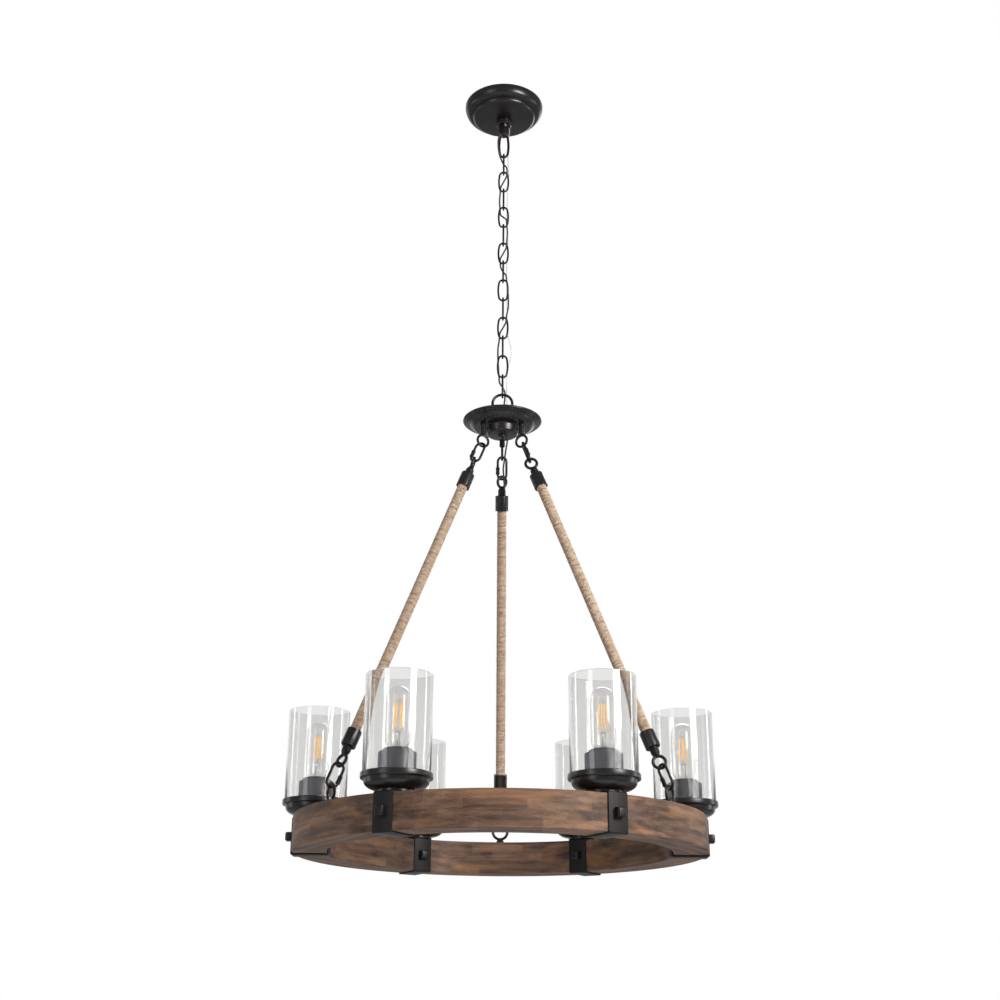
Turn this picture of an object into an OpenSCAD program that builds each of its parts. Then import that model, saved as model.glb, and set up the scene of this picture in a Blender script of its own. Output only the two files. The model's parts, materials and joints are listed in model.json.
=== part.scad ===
// Wagon wheel chandelier: a ring of wooden felloes with six strapped lamps, hung by
// three rope-wound rods from a hub, which hangs by a chain from a ceiling canopy.
// The origin is the centre of the ceiling face, +Z is up, and -Y faces the viewer.
// Millimetres.

/* [Wheel] */
// Outer radius of the wooden rim
rim_r = 305; // [280:1:330]
// Thickness of the rim, from its outer face to its inner face
rim_t = 51; // [44:1:56]
// Height of the rim
rim_h = 50; // [42:1:60]
// Bevel along the edges of the felloes
rim_bevel = 1.6; // [0.8:0.1:3]
// Number of felloes, straps and lamps
lamp_count = 6; // [6:1:6]
// Glue line between two felloes
felloe_gap = 0.2; // [0.2:0.05:0.5]

/* [Straps and bolts] */
// Width of a strap band
strap_w = 30; // [24:1:36]
// Thickness of the strap's steel
strap_t = 2; // [1.5:0.1:3]
// Outer radius of a strap's bends
strap_bend = 2.6; // [2.5:0.1:2.9]
// Diameter of the bolt through a strap
bolt_d = 6; // [5:0.5:7]
// Width of a bolt's square head, across its flats
bolt_head_w = 12.7; // [11:0.1:14]
// Length of a bolt's head
bolt_head_l = 10.2; // [7:0.1:12]
// Clearance of a bolt or a stem in its hole, on the radius
hole_play = 0.3; // [0.2:0.05:0.5]

/* [Lamp holders] */
// How far the middle of a lamp stands in from the rim's outer face
lamp_inset = 29; // [23:1:33]
// Outer radius of a lamp pan
pan_r = 49; // [46:0.5:52]
// Height of a lamp pan
pan_h = 26.6; // [24:0.2:32]
// Height of the pan's upright rim
pan_rim_h = 8; // [6:0.5:9]
// Radius of the pan's foot
pan_foot_r = 25; // [20:0.5:30]
// Height of the pan's foot
pan_foot_h = 4; // [2:0.1:5]
// Thickness of the pan's metal
pan_wall = 2; // [1.6:0.1:3]
// Depth of the seat that holds the glass
shade_seat = 5; // [4:0.5:6]
// Outer radius of the sleeve round a socket
cup_r = 26.3; // [25:0.1:28]
// Height of the sleeve above the pan's floor
cup_h = 49; // [45:0.1:58]
// Wall of the sleeve
cup_wall = 1.2; // [0.8:0.1:2]
// Outer radius of a socket
socket_r = 20.6; // [19:0.1:22]
// How far a socket stands out of its sleeve
socket_out = 5; // [3:0.5:8]
// Depth of a socket's bore
socket_bore_l = 30; // [28:0.5:34]
// Diameter of the tube that holds a socket down
stud_d = 9.8; // [9:0.1:10.5]
// Bore of that tube, for the wires
stud_bore = 6; // [4:0.5:7]
// How far that tube reaches into the wood
stud_l = 15; // [10:0.5:18]

/* [Glass shades] */
// Outer radius of a shade
shade_r = 46.3; // [44:0.1:46.4]
// Wall of a shade
shade_wall = 2; // [1.5:0.1:3]
// Height of a shade
shade_h = 138; // [130:1:160]

/* [Bulbs] */
// Radius of a bulb's screw base
bulb_base_r = 12.9; // [12.6:0.1:13]
// Length of the screw base
bulb_base_l = 24; // [22:0.5:26]
// Radius of the bulb's glass tube
bulb_r = 17.4; // [15:0.1:19]
// Length of the bulb's glass, from its base to its dome
bulb_glass_l = 87; // [80:1:100]
// Wall of the bulb's glass
bulb_wall = 0.8; // [0.6:0.1:1.2]
// Length of a filament
filament_l = 32; // [25:1:40]
// Thickness of a filament
filament_d = 2; // [1.2:0.1:2.4]
// Radius of the circle of filaments
filament_ring_r = 6; // [4:0.1:7]

/* [Canopy] */
// Radius of the ceiling canopy
canopy_r = 70; // [66:1:85]
// Depth of the canopy
canopy_h = 27; // [26:1:40]
// Wall of the canopy's sheet steel
canopy_wall = 1.2; // [0.8:0.1:2]
// Radius at which the canopy's domed wall ends
canopy_step_r = 59.5; // [55:0.5:61]
// Depth at which the domed wall ends
canopy_step_h = 17; // [12:0.5:18]
// Radius of the collar that holds the canopy up
collar_r = 13.5; // [12:0.1:16]
// Height of that collar
collar_h = 12; // [8:0.5:14]
// Diameter of the threaded tube through the canopy
nipple_d = 9.8; // [9:0.1:10.5]
// Bore of that tube
nipple_bore = 7; // [6:0.1:8]
// Length of the crossbar
crossbar_l = 104; // [100:1:115]
// Width of the crossbar
crossbar_w = 20; // [16:1:24]
// Thickness of the crossbar
crossbar_t = 2.4; // [2:0.1:3]
// Distance between the crossbar's two screw holes
screw_spacing = 88.9; // [85:0.1:90]
// Diameter of a screw hole
screw_hole_d = 4.6; // [4.2:0.1:5.2]

/* [Chain] */
// Number of chain links
link_count = 13; // [13:1:13]
// Outer length of a link
link_l = 43.6; // [40:0.1:46]
// Outer width of a link
link_w = 20; // [18:0.1:22]
// Thickness of a link's wire
link_wire = 3.4; // [3:0.1:3.8]
// Radius of the round ends of a link, to the middle of its wire
link_end_r = 7; // [6.6:0.1:7.2]
// Play where two links hook together
link_play = 0.3; // [0.3:0.05:0.6]
// Outer length of the loop under the canopy
top_loop_l = 50.5; // [46:0.5:56]
// Outer width of that loop
top_loop_w = 21; // [20:0.5:24]
// Thickness of that loop's wire
top_loop_wire = 4.5; // [4:0.1:5]
// Length of that loop's neck
top_neck_l = 23; // [22:0.5:28]
// Diameter of that loop's neck
top_neck_d = 16; // [15:0.5:18]

/* [Hub] */
// Radius of the hub plate
hub_r = 65; // [60:1:72]
// Height of the hub plate above its rim
hub_top_h = 7.2; // [6:0.2:9]
// Wall of the hub's sheet steel
hub_wall = 1.4; // [1:0.1:2]
// Depth of the hub's underside, down to the drum
hub_dish_h = 11.5; // [10:0.5:13]
// Radius of the hub's drum
drum_r = 26.5; // [24:0.5:28]
// Height of the drum
drum_h = 13.3; // [11:0.1:16]
// Outer radius of the ring on top of the hub
hub_loop_r = 18.7; // [17.5:0.1:20]
// Thickness of that ring's wire
hub_loop_wire = 4.6; // [3.8:0.1:5]
// Length of that ring's neck
hub_neck_l = 9.4; // [8:0.2:12]
// Radius of the circle of eyes under the hub
hub_eye_ring_r = 36.3; // [35.5:0.1:37.5]
// Distance of an eye's centre below the hub's underside
hub_eye_drop = 30.9; // [28:0.1:34]
// Outer radius of the eyes under the hub
hub_eye_r = 12; // [11.5:0.1:13]
// Thickness of those eyes' wire
hub_eye_wire = 4.2; // [3.8:0.1:4.6]

/* [Rods and links] */
// Length of rope seen between the two ferrules of a rod
rope_l = 442; // [400:1:480]
// Outer diameter of the rope winding
rope_d = 16; // [15.8:0.1:16.4]
// Thickness of the twine
twine_d = 2.5; // [2.4:0.05:2.6]
// Turns of twine drawn at each end of a rod
end_turns = 4; // [3:1:4]
// Play between two turns of twine
twine_play = 0.5; // [0.45:0.05:0.7]
// Diameter of the steel rod inside the rope
rod_d = 10; // [9:0.1:10.4]
// Outer diameter of a ferrule
ferrule_d = 22; // [20.5:0.5:24]
// Length of a ferrule
ferrule_l = 26; // [24:0.5:30]
// Depth of a ferrule's bore
ferrule_bore_l = 19; // [17:0.5:21]
// Distance from a ferrule to the centre of its eye
rod_eye_out = 22.5; // [21:0.1:26]
// Outer radius of the eyes on a rod
rod_eye_r = 11.5; // [11.2:0.1:12.5]
// Thickness of those eyes' wire
rod_eye_wire = 4.7; // [4:0.1:5]
// Radius of the neck under such an eye
rod_neck_r = 6.6; // [6:0.1:7.5]
// Outer length of a quick link
quick_l = 41; // [38:0.5:46]
// Outer width of a quick link
quick_w = 20; // [18.5:0.5:21]
// Thickness of a quick link's wire
quick_wire = 4; // [3.6:0.1:4.4]
// Length of a quick link's threaded sleeve
sleeve_l = 12; // [9:0.5:14]
// Diameter of that sleeve
sleeve_d = 7; // [6.4:0.1:7.6]
// Outer radius of the eyes on the wheel
ring_eye_r = 14.3; // [13.5:0.1:15.5]
// Thickness of the wheel's eyes
ring_eye_wire = 4.5; // [4:0.1:5]
// How far the middle of the wheel's eyes stands in from the rim's outer face
ring_eye_inset = 31.5; // [18:0.5:33]
// Height of an eye's centre above the wood
ring_eye_up = 19; // [18:0.1:22]
// Play where a quick link hooks into an eye of the wheel
wheel_play = 0.6; // [0.5:0.05:0.8]

/* [Supply lead] */
// Diameter of the supply lead
lead_d = 3; // [2.5:0.1:3.2]
// Diameter of the earth wire
earth_d = 1.4; // [1:0.1:1.6]

/* [Hidden] */
$fn = 48;
tiny = 0.01;
// How far a cut runs past the face that it opens
over = 1;
// Play of a thread, on the radius
thread_play = 0.1;
// Gap that keeps two parts of one body apart
seat_gap = 0.05;

// Azimuths are turned from the front, -Y, towards +X.
lamp_step = 360 / lamp_count;
lamp_azimuths = [for (i = [0:lamp_count - 1]) (i + 0.5) * lamp_step];
lamp_ring_r = rim_r - lamp_inset;
ring_eye_ring_r = rim_r - ring_eye_inset;
left_azimuth = -60;
right_azimuth = 60;
back_azimuth = 180;
hanger_azimuths = [left_azimuth, right_azimuth, back_azimuth];

// Turns of the pieces of each rod about its own line, from the radial plane:
// upper quick link, upper rod eye, lower rod eye, lower quick link.
left_turns = [-50, 60, -75, 170];
right_turns = [-60, 30, 35, 155];
back_turns = [65, 130, 90, 0];

steel_color = "#2b2827";
dark_steel_color = "#343130";
wood_color = "#6b4a35";
rope_color = "#c3a27c";
glass_color = [0.85, 0.9, 0.92, 0.35];
brass_color = "#b59a5a";
zinc_color = "#b8b8b4";
filament_color = "#e8a33c";
lead_color = "#4a2a26";
earth_color = "#d8c9c0";
socket_color = "#3a3b45";

// The chain: heights of the middles of the wires, down from the canopy
collar_top = -canopy_h;
neck_top = collar_top - collar_h;
top_loop_low = neck_top - top_neck_l - top_loop_l + top_loop_wire * 1.5;
first_link_top = top_loop_low + (top_loop_wire + link_wire) / 2 + link_play;
link_span = link_l - link_wire;
link_pitch = link_span - link_wire - link_play;
last_link_low = first_link_top - (link_count - 1) * link_pitch - link_span;

// The hub
hub_loop_top = last_link_low + (link_wire + hub_loop_wire) / 2 + link_play;
hub_loop_mid_r = hub_loop_r - hub_loop_wire / 2;
hub_loop_z = hub_loop_top - hub_loop_mid_r;
hub_top = hub_loop_z - hub_loop_mid_r - hub_neck_l;
hub_z = hub_top - hub_top_h;
drum_low = hub_z - hub_dish_h - drum_h;
hub_eye_z = hub_z - hub_dish_h - hub_eye_drop;
hub_eye_mid_r = hub_eye_r - hub_eye_wire / 2;
hub_land_in = drum_r + 2;
hub_land_out = hub_eye_ring_r + 8;
hub_eye_stud_r = 4.7;
hub_eye_stem_d = 6;

// A rod with its links, measured along its line from the middle of the hub eye's wire
quick_span = quick_l - quick_wire;
rod_eye_mid_r = rod_eye_r - rod_eye_wire / 2;
hub_hook = (hub_eye_wire + quick_wire) / 2 + link_play;
rod_hook = (rod_eye_wire + quick_wire) / 2 + link_play;
upper_quick_mid = quick_span / 2 - hub_hook;
upper_eye_mid = quick_span - hub_hook - rod_hook + rod_eye_mid_r;
upper_ferrule_top = upper_eye_mid + rod_eye_out;
rope_top = upper_ferrule_top + ferrule_l;
rope_low = rope_top + rope_l;
lower_ferrule_low = rope_low + ferrule_l;
lower_eye_mid = lower_ferrule_low + rod_eye_out;
lower_quick_mid = lower_eye_mid + rod_eye_mid_r - rod_hook + quick_span / 2;
hanger_l = lower_quick_mid + quick_span / 2 - (ring_eye_wire + quick_wire) / 2 - wheel_play;

// The line leans out; it meets the hub eye's wire on the side that it pulls on.
ring_eye_mid_r = ring_eye_r - ring_eye_wire / 2;
hanger_lean = asin((ring_eye_ring_r - hub_eye_ring_r) / (hanger_l + hub_eye_mid_r));
hang_r = hub_eye_ring_r + hub_eye_mid_r * sin(hanger_lean);
hang_z = hub_eye_z - hub_eye_mid_r * cos(hanger_lean);
ring_eye_z = hang_z - hanger_l * cos(hanger_lean) - ring_eye_mid_r;

// The wheel
rim_top = ring_eye_z - ring_eye_up;
rim_low = rim_top - rim_h;
rim_in_r = rim_r - rim_t;
rim_mid_z = rim_low + rim_h / 2;
strap_play = 0.2;
strap_out = rim_r + strap_play;
strap_in = sqrt(pow(rim_in_r, 2) - pow(strap_w / 2, 2)) - strap_play;
strap_rise = 0.3;
ring_eye_shank_l = 32;
ring_eye_shank_d = 6;

// A lamp, measured up from the strap that it stands on
lamp_z = rim_top + strap_t;
pan_floor = pan_foot_h + pan_wall;
pan_step_w = 5;
pan_step_h = 3.4;
pan_ledge_r = pan_r - pan_step_w;
pan_ledge_z = pan_h - pan_rim_h - pan_step_h;
stud_hole_r = stud_d / 2 + hole_play;
shade_play = 0.5;
shade_gap = 0.3;
shade_low = pan_h - shade_seat;
cup_top = pan_floor + cup_h;
socket_low = pan_floor + cup_wall;
socket_top = cup_top + socket_out;
bulb_gap = 0.3;
bulb_tip_h = 1.5;
bulb_low = socket_top - socket_bore_l + bulb_gap;
bulb_base_top = bulb_low + bulb_base_l + bulb_tip_h;
bulb_top = bulb_base_top + bulb_glass_l;
filament_drop = 22;
filament_top = bulb_top - filament_drop;
filament_low = filament_top - filament_l;

// Route of the supply lead, from the neck of the canopy's loop through the chain to
// the hub. It changes sides through the middle of a link's opening.
lead_route = [
    [0, 0, -2], [0, 0, -50], [-1.5, -1.5, -55.5],
    [-5, -5, -61], [-8, -8, -66], [-10, -8, -74], [-10, -8, -90], [-8, -7, -104], [-5, -5, -113],
    [0, -1, -122], [5, -5, -131], [6, -6, -142], [5, -5, -150], [0, 0, -158], [-5, 5, -166],
    [-6, 6, -178], [-7, 6, -194], [-6, 6, -212], [-5, 5, -223], [0, 0, -231], [5, -5, -239],
    [6, -6, -251], [7, -6, -267], [6, -6, -285], [5, -5, -296], [0, 0, -304], [-5, 5, -312],
    [-5, 5, -322], [-4, 3, -331], [0, 0, -341], [5, -4, -350], [6, -6, -360], [8, -7, -377],
    [9, -7, -395], [9, -7, -414], [6, -6, -431], [5, -5, -442], [0, 0, -450], [-5, 5, -458],
    [-6, 6, -470], [-8, 6, -486], [-8, 6, -505], [-7, 6, -523], [-6, 6, -540], [-5, 5, -551],
    [0, 3, -560], [4, 5, -569], [4, 7, -578], [3, 9, -588], [3, 11, -600], [4, 13, -609],
    [4, 13.5, -622]
];

// Route of the earth wire, down the back of the chain
earth_route = [
    [10, 11, -20], [10, 11, -42], [9, 10, -56], [8, 9, -75], [8, 8, -118], [9, 8, -140],
    [7, 7, -190], [6, 7, -220], [8, 8, -280], [6, 7, -340], [7, 7, -400], [8, 8, -455],
    [12, 8, -475], [15, 8, -492], [12, 8, -510], [8, 8, -530], [7, 9, -570], [8, 12, -592],
    [8, 13.5, -608], [8, 13.5, -624]
];

// Route of the lead that goes down inside the back rod, from the hub's underside
back_lead_route = [
    [9, 30, -633], [9, 30, -640], [8, 30, -650], [6, 31, -663], [4, 34, -678], [2, 39, -692.5],
    [3, 44.7, -707], [4, 50.4, -721], [4.5, 54.5, -730.5], [4.5, 56.3, -735], [4.5, 57.6, -738]
];

// Shapes and helpers

// Turns a shape drawn for the front to its place round the axis
module at_azimuth(azimuth) {
    rotate([0, 0, azimuth]) children();
}

// A quarter of an ellipse in a profile, from radius r0 to r1 and down by h
function quarter(r0, r1, z, h, n = 6) =
    [for (i = [0:n]) [r1 + (r0 - r1) * cos(90 * i / n), z - h * sin(90 * i / n)]];

// The inner side of a sheet whose outer side is the profile, from its end to its start
function inner_side(profile, wall, top) =
    [for (i = [len(profile) - 1:-1:0]) [max(profile[i].x - wall, tiny), min(profile[i].y + wall, top)]];

// A stretch of round wire bent about the Z axis
module wire_arc(bend_r, wire, from, sweep) {
    rotate([0, 0, from])
        rotate_extrude(angle = sweep)
            translate([bend_r, 0])
                circle(d = wire);
}

// A straight stretch of round wire, upright
module wire_rod(wire, length) {
    cylinder(d = wire, h = length);
}

// An oval link standing in the XZ plane: two round ends and two slightly bowed sides,
// which are drawn a little thinner and run into the ends
weld_l = 0.5;
weld_step = 0.1;
module oval_link(length, width, wire, end_r) {
    half_l = (length - wire) / 2;
    half_w = (width - wire) / 2;
    end_y = half_l - end_r;
    side_r = (pow(end_y, 2) + pow(half_w, 2) - pow(end_r, 2)) / (2 * (half_w - end_r));
    side_half = atan2(end_y, side_r - half_w);
    side_reach = side_half + weld_l / side_r * 180 / PI;
    rotate([90, 0, 0])
        for (turn = [0, 180])
            rotate([0, 0, turn]) {
                translate([0, end_y, 0]) wire_arc(end_r, wire, side_half, 180 - 2 * side_half);
                translate([half_w - side_r, 0, 0])
                    wire_arc(side_r, wire - weld_step, -side_reach, 2 * side_reach);
            }
}

// A straight-sided link standing in the XZ plane, with a threaded sleeve on one leg
module quick_link() {
    end_r = (quick_w - quick_wire) / 2;
    leg_l = quick_span - 2 * end_r;
    rotate([90, 0, 0])
        for (turn = [0, 180])
            rotate([0, 0, turn])
                translate([0, leg_l / 2, 0]) wire_arc(end_r, quick_wire, 0, 180);
    for (side = [-1, 1])
        translate([side * end_r, 0, -leg_l / 2]) wire_rod(quick_wire, leg_l);
    translate([-end_r, 0, -leg_l / 2])
        difference() {
            cylinder(d = sleeve_d, h = sleeve_l);
            translate([0, 0, -over]) cylinder(r = quick_wire / 2 + thread_play, h = sleeve_l + 2 * over);
        }
}

// A closed ring of wire standing in the XZ plane
module wire_ring(mid_r, wire) {
    rotate([90, 0, 0])
        rotate_extrude()
            translate([mid_r, 0])
                circle(d = wire);
}

// Puts a piece of a rod in its place: down its line from the hub eye, turned about it
module on_hanger(azimuth, along, turn) {
    at_azimuth(azimuth)
        translate([0, -hang_r, hang_z])
            rotate([-hanger_lean, 0, 0])
                translate([0, 0, -along])
                    rotate([0, 0, 90 + turn])
                        children();
}

// A tube of n sides through the points of a path, with flat ends
function unit(v) = v / norm(v);
function tangent_at(path, i) =
    unit(path[min(i + 1, len(path) - 1)] - path[max(i - 1, 0)]);
function side_at(path, i, ref) = unit(cross(tangent_at(path, i), ref));
function tube_ring(path, i, ref, d, n) =
    let (side = side_at(path, i, ref), other = cross(side, tangent_at(path, i)))
    [for (k = [0:n - 1]) path[i] + d / 2 * (cos(360 * k / n) * side + sin(360 * k / n) * other)];

module tube(path, refs, d, n) {
    rings = len(path);
    points = [for (i = [0:rings - 1]) each tube_ring(path, i, refs[i], d, n)];
    walls = [
        for (i = [0:rings - 2], k = [0:n - 1])
            let (a = i * n + k, b = i * n + (k + 1) % n)
            each [[a, b, b + n], [a, b + n, a + n]]
    ];
    first_end = [for (k = [1:n - 2]) [0, k + 1, k]];
    last = (rings - 1) * n;
    last_end = [for (k = [1:n - 2]) [last, last + k, last + k + 1]];
    polyhedron(points, concat(walls, first_end, last_end));
}

// A hand-laid lead along its route, with one reference direction for all its rings
lead_ref = [0.3, 1, 0];
lead_sides = 8;
module lead(route, d) {
    tube(route, [for (p = route) lead_ref], d, lead_sides);
}

module crossbar() {
    color(zinc_color)
        difference() {
            translate([-crossbar_l / 2, -crossbar_w / 2, -crossbar_t])
                cube([crossbar_l, crossbar_w, crossbar_t]);
            translate([0, 0, -crossbar_t - over])
                cylinder(d = nipple_d + 2 * hole_play, h = crossbar_t + 2 * over);
            for (side = [-1, 1])
                translate([side * screw_spacing / 2, 0, -crossbar_t - over])
                    cylinder(d = screw_hole_d, h = crossbar_t + 2 * over);
        }
}

nut_w = 14;
nut_h = 4.5;
nipple_in_neck = 16;
nipple_top_gap = 0.2;

// The threaded tube, with the nut that holds it to the crossbar
module nipple() {
    nipple_low = neck_top - nipple_in_neck;
    color(zinc_color) {
        difference() {
            translate([0, 0, nipple_low]) cylinder(d = nipple_d, h = -nipple_low - nipple_top_gap);
            translate([0, 0, nipple_low - over]) cylinder(d = nipple_bore, h = -nipple_low + 2 * over);
        }
        translate([0, 0, -crossbar_t - nut_h])
            difference() {
                cylinder(d = nut_w, h = nut_h, $fn = 6);
                translate([0, 0, -over])
                    cylinder(r = nipple_d / 2 + thread_play, h = nut_h + 2 * over);
            }
    }
}

canopy_groove_w = 3;
canopy_groove_h = 0.6;
canopy_bead_r = canopy_step_r - canopy_groove_w;
canopy_bead_w = 6;
canopy_bead_h = 7.5;
canopy_hole_r = nipple_d / 2 + hole_play;
wire_hole_play = 0.5;

module canopy() {
    outer = concat(
        quarter(canopy_r, canopy_step_r, 0, canopy_step_h, 8),
        quarter(
            canopy_bead_r, canopy_bead_r - canopy_bead_w, -canopy_step_h - canopy_groove_h, canopy_bead_h, 6
        ),
        [[collar_r, -canopy_h], [canopy_hole_r, -canopy_h]]
    );
    inner = inner_side([for (p = outer) if (p.x > canopy_hole_r) p], canopy_wall, 0);
    color(steel_color)
        difference() {
            rotate_extrude()
                polygon(concat(outer, [[canopy_hole_r, -canopy_h + canopy_wall]], inner));
            translate([earth_route[1].x, earth_route[1].y, -canopy_h - over])
                cylinder(r = earth_d / 2 + wire_hole_play, h = canopy_h / 2);
        }
}

// The threaded collar that draws the canopy up to the ceiling
module canopy_collar() {
    grip = 1.2;
    bore_r = nipple_d / 2 + thread_play;
    color(dark_steel_color)
        translate([0, 0, neck_top])
            rotate_extrude()
                polygon([
                    [bore_r, 0],
                    [collar_r - grip, 0],
                    [collar_r, grip],
                    [collar_r, collar_h - grip],
                    [collar_r - grip, collar_h],
                    [bore_r, collar_h]
                ]);
}

lead_hole_d = 4.4;
lead_hole_tilt = 135;
lead_hole_azimuth = 225;

module canopy_loop() {
    neck_low = neck_top - top_neck_l;
    socket_floor = neck_top - nipple_in_neck - 2;
    shoulder = 3;
    loop_mid = neck_low - top_loop_l / 2 + top_loop_wire;
    color(dark_steel_color)
        difference() {
            union() {
                translate([0, 0, neck_low])
                    rotate_extrude()
                        polygon([
                            [0, 0],
                            [top_neck_d / 2 - shoulder, 0],
                            [top_neck_d / 2, shoulder],
                            [top_neck_d / 2, top_neck_l],
                            [0, top_neck_l]
                        ]);
                translate([0, 0, loop_mid])
                    oval_link(top_loop_l, top_loop_w, top_loop_wire, link_end_r);
            }
            translate([0, 0, socket_floor])
                cylinder(r = nipple_d / 2 + thread_play, h = neck_top - socket_floor + over);
            translate([0, 0, socket_floor + 3])
                rotate([0, lead_hole_tilt, lead_hole_azimuth])
                    cylinder(d = lead_hole_d, h = top_neck_d * 1.5);
        }
}

// Links are counted down from the canopy; the odd ones are seen from their edge.
module chain_link(number) {
    color(dark_steel_color)
        translate([0, 0, first_link_top - (number - 1) * link_pitch - link_span / 2])
            rotate([0, 0, number % 2 == 1 ? 90 : 0])
                oval_link(link_l, link_w, link_wire, link_end_r);
}

module supply_lead() {
    color(lead_color) lead(lead_route, lead_d);
}

module earth_wire() {
    color(earth_color) lead(earth_route, earth_d);
}

module back_lead() {
    color(lead_color) lead(back_lead_route, lead_d);
}

hub_hole_r = nipple_d / 2 + hole_play;
hub_base_r = 11;

module hub_loop() {
    neck_d = 11;
    base_h = 3;
    socket_h = 6;
    color(dark_steel_color)
        difference() {
            union() {
                translate([0, 0, hub_loop_z]) wire_ring(hub_loop_mid_r, hub_loop_wire);
                translate([0, 0, hub_top]) cylinder(d = neck_d, h = hub_neck_l);
                translate([0, 0, hub_top]) cylinder(r = hub_base_r, h = base_h);
            }
            translate([0, 0, hub_top - over])
                cylinder(r = nipple_d / 2 + thread_play, h = socket_h + over);
        }
}

// The upper dish, whose rim the cover closes from below
module hub_plate() {
    lip_h = 1.6;
    lip_w = 4;
    flat_r = hub_base_r + 8;
    outer = [
        [hub_r, hub_z],
        [hub_r, hub_z + lip_h],
        [hub_r - lip_w, hub_z + 2 * lip_h],
        [flat_r, hub_top],
        [hub_hole_r, hub_top]
    ];
    inner = [
        [hub_hole_r, hub_top - hub_wall],
        [flat_r, hub_top - hub_wall],
        [hub_r - lip_w - 1, hub_z + lip_h],
        [hub_r - lip_w - 1, hub_z]
    ];
    color(steel_color)
        difference() {
            rotate_extrude() polygon(concat(outer, inner));
            for (end = [[lead_route, lead_d], [earth_route, earth_d]])
                let (p = end[0][len(end[0]) - 1])
                    translate([p.x, p.y, hub_z])
                        cylinder(r = end[1] / 2 + wire_hole_play, h = hub_top_h + over);
        }
}

// The underside: two ridges at the rim, a dish, a flat land for the eyes and the drum
module hub_cover() {
    drum_top = hub_z - hub_dish_h;
    drum_edge = 3;
    drum_taper = 0.8;
    ridge_h = 1.8;
    ridge_w = 3;
    ridge_step_r = 3.7;
    ridge_step_z = 1.4;
    ridges_r = hub_r - 0.6;
    outer = concat(
        [for (i = [0:2])
            each quarter(
                ridges_r - i * ridge_step_r, ridges_r - i * ridge_step_r - ridge_w,
                hub_z - i * ridge_step_z, ridge_h, 3
            )],
        [[hub_land_out, drum_top], [hub_land_in, drum_top], [drum_r, drum_top - 2 * drum_taper]],
        quarter(drum_r - drum_taper, drum_r - drum_taper - drum_edge, drum_low + drum_edge, drum_edge, 4),
        [[hub_hole_r, drum_low]]
    );
    inner = inner_side([for (p = outer) if (p.x > hub_hole_r + hub_wall) p], hub_wall, hub_z);
    color(steel_color)
        difference() {
            rotate_extrude()
                polygon(concat(outer, [[hub_hole_r, drum_low + hub_wall]], inner));
            for (azimuth = hanger_azimuths)
                at_azimuth(azimuth)
                    translate([0, -hub_eye_ring_r, drum_top - over])
                        cylinder(d = hub_eye_stem_d + 2 * hole_play, h = hub_wall + 2 * over);
            translate([back_lead_route[0].x, back_lead_route[0].y, drum_top - over])
                cylinder(r = lead_d / 2 + wire_hole_play, h = hub_wall + 2 * over);
        }
}

// The tube through the hub, with the cap nut that closes it below
module hub_stem() {
    cap_r = 6.5;
    cap_h = 5;
    cap_edge_h = 1.5;
    cap_dome = quarter(cap_r, 0, cap_h - cap_edge_h, cap_h - cap_edge_h);
    stem_l = hub_top - drum_low + 5;
    color(steel_color) {
        difference() {
            translate([0, 0, drum_low]) cylinder(d = nipple_d, h = stem_l);
            translate([0, 0, drum_low + over]) cylinder(d = nipple_bore, h = stem_l);
        }
        translate([0, 0, drum_low - cap_h])
            rotate_extrude()
                polygon(concat(
                    [for (i = [len(cap_dome) - 1:-1:0]) cap_dome[i]],
                    [[cap_r, cap_h], [0, cap_h]]
                ));
    }
}

module hub_eyes() {
    drum_top = hub_z - hub_dish_h;
    stem_low = hub_eye_z + hub_eye_mid_r;
    stem_up = 4;
    stud_low = hub_eye_z + hub_eye_r + 1.5;
    shoulder = 1.6;
    color(dark_steel_color)
        for (azimuth = hanger_azimuths)
            at_azimuth(azimuth)
                translate([0, -hub_eye_ring_r, 0]) {
                    translate([0, 0, hub_eye_z])
                        rotate([0, 0, 90]) wire_ring(hub_eye_mid_r, hub_eye_wire);
                    translate([0, 0, stem_low])
                        cylinder(d = hub_eye_stem_d, h = drum_top + hub_wall + stem_up - stem_low);
                    translate([0, 0, stud_low])
                        rotate_extrude()
                            polygon([
                                [0, -shoulder],
                                [hub_eye_stud_r - shoulder, -shoulder],
                                [hub_eye_stud_r, 0],
                                [hub_eye_stud_r, drum_top - stud_low],
                                [0, drum_top - stud_low]
                            ]);
                }
}

rope_bore_r = rod_d / 2 + 2 * thread_play;
twine_mid_r = rope_d / 2 - twine_d / 2;
twine_pitch = twine_d + twine_play;
twine_bend = 2.3;
turn_rings = 24;
twine_sides = 6;
core_gap = 0.3;
turns_l = end_turns * twine_pitch + 2 * twine_bend;
tuck_l = twine_d + 0.4;
slot_l = twine_d + twine_bend + 0.4;
slot_half = twine_d / 2 + 0.45;

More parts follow.
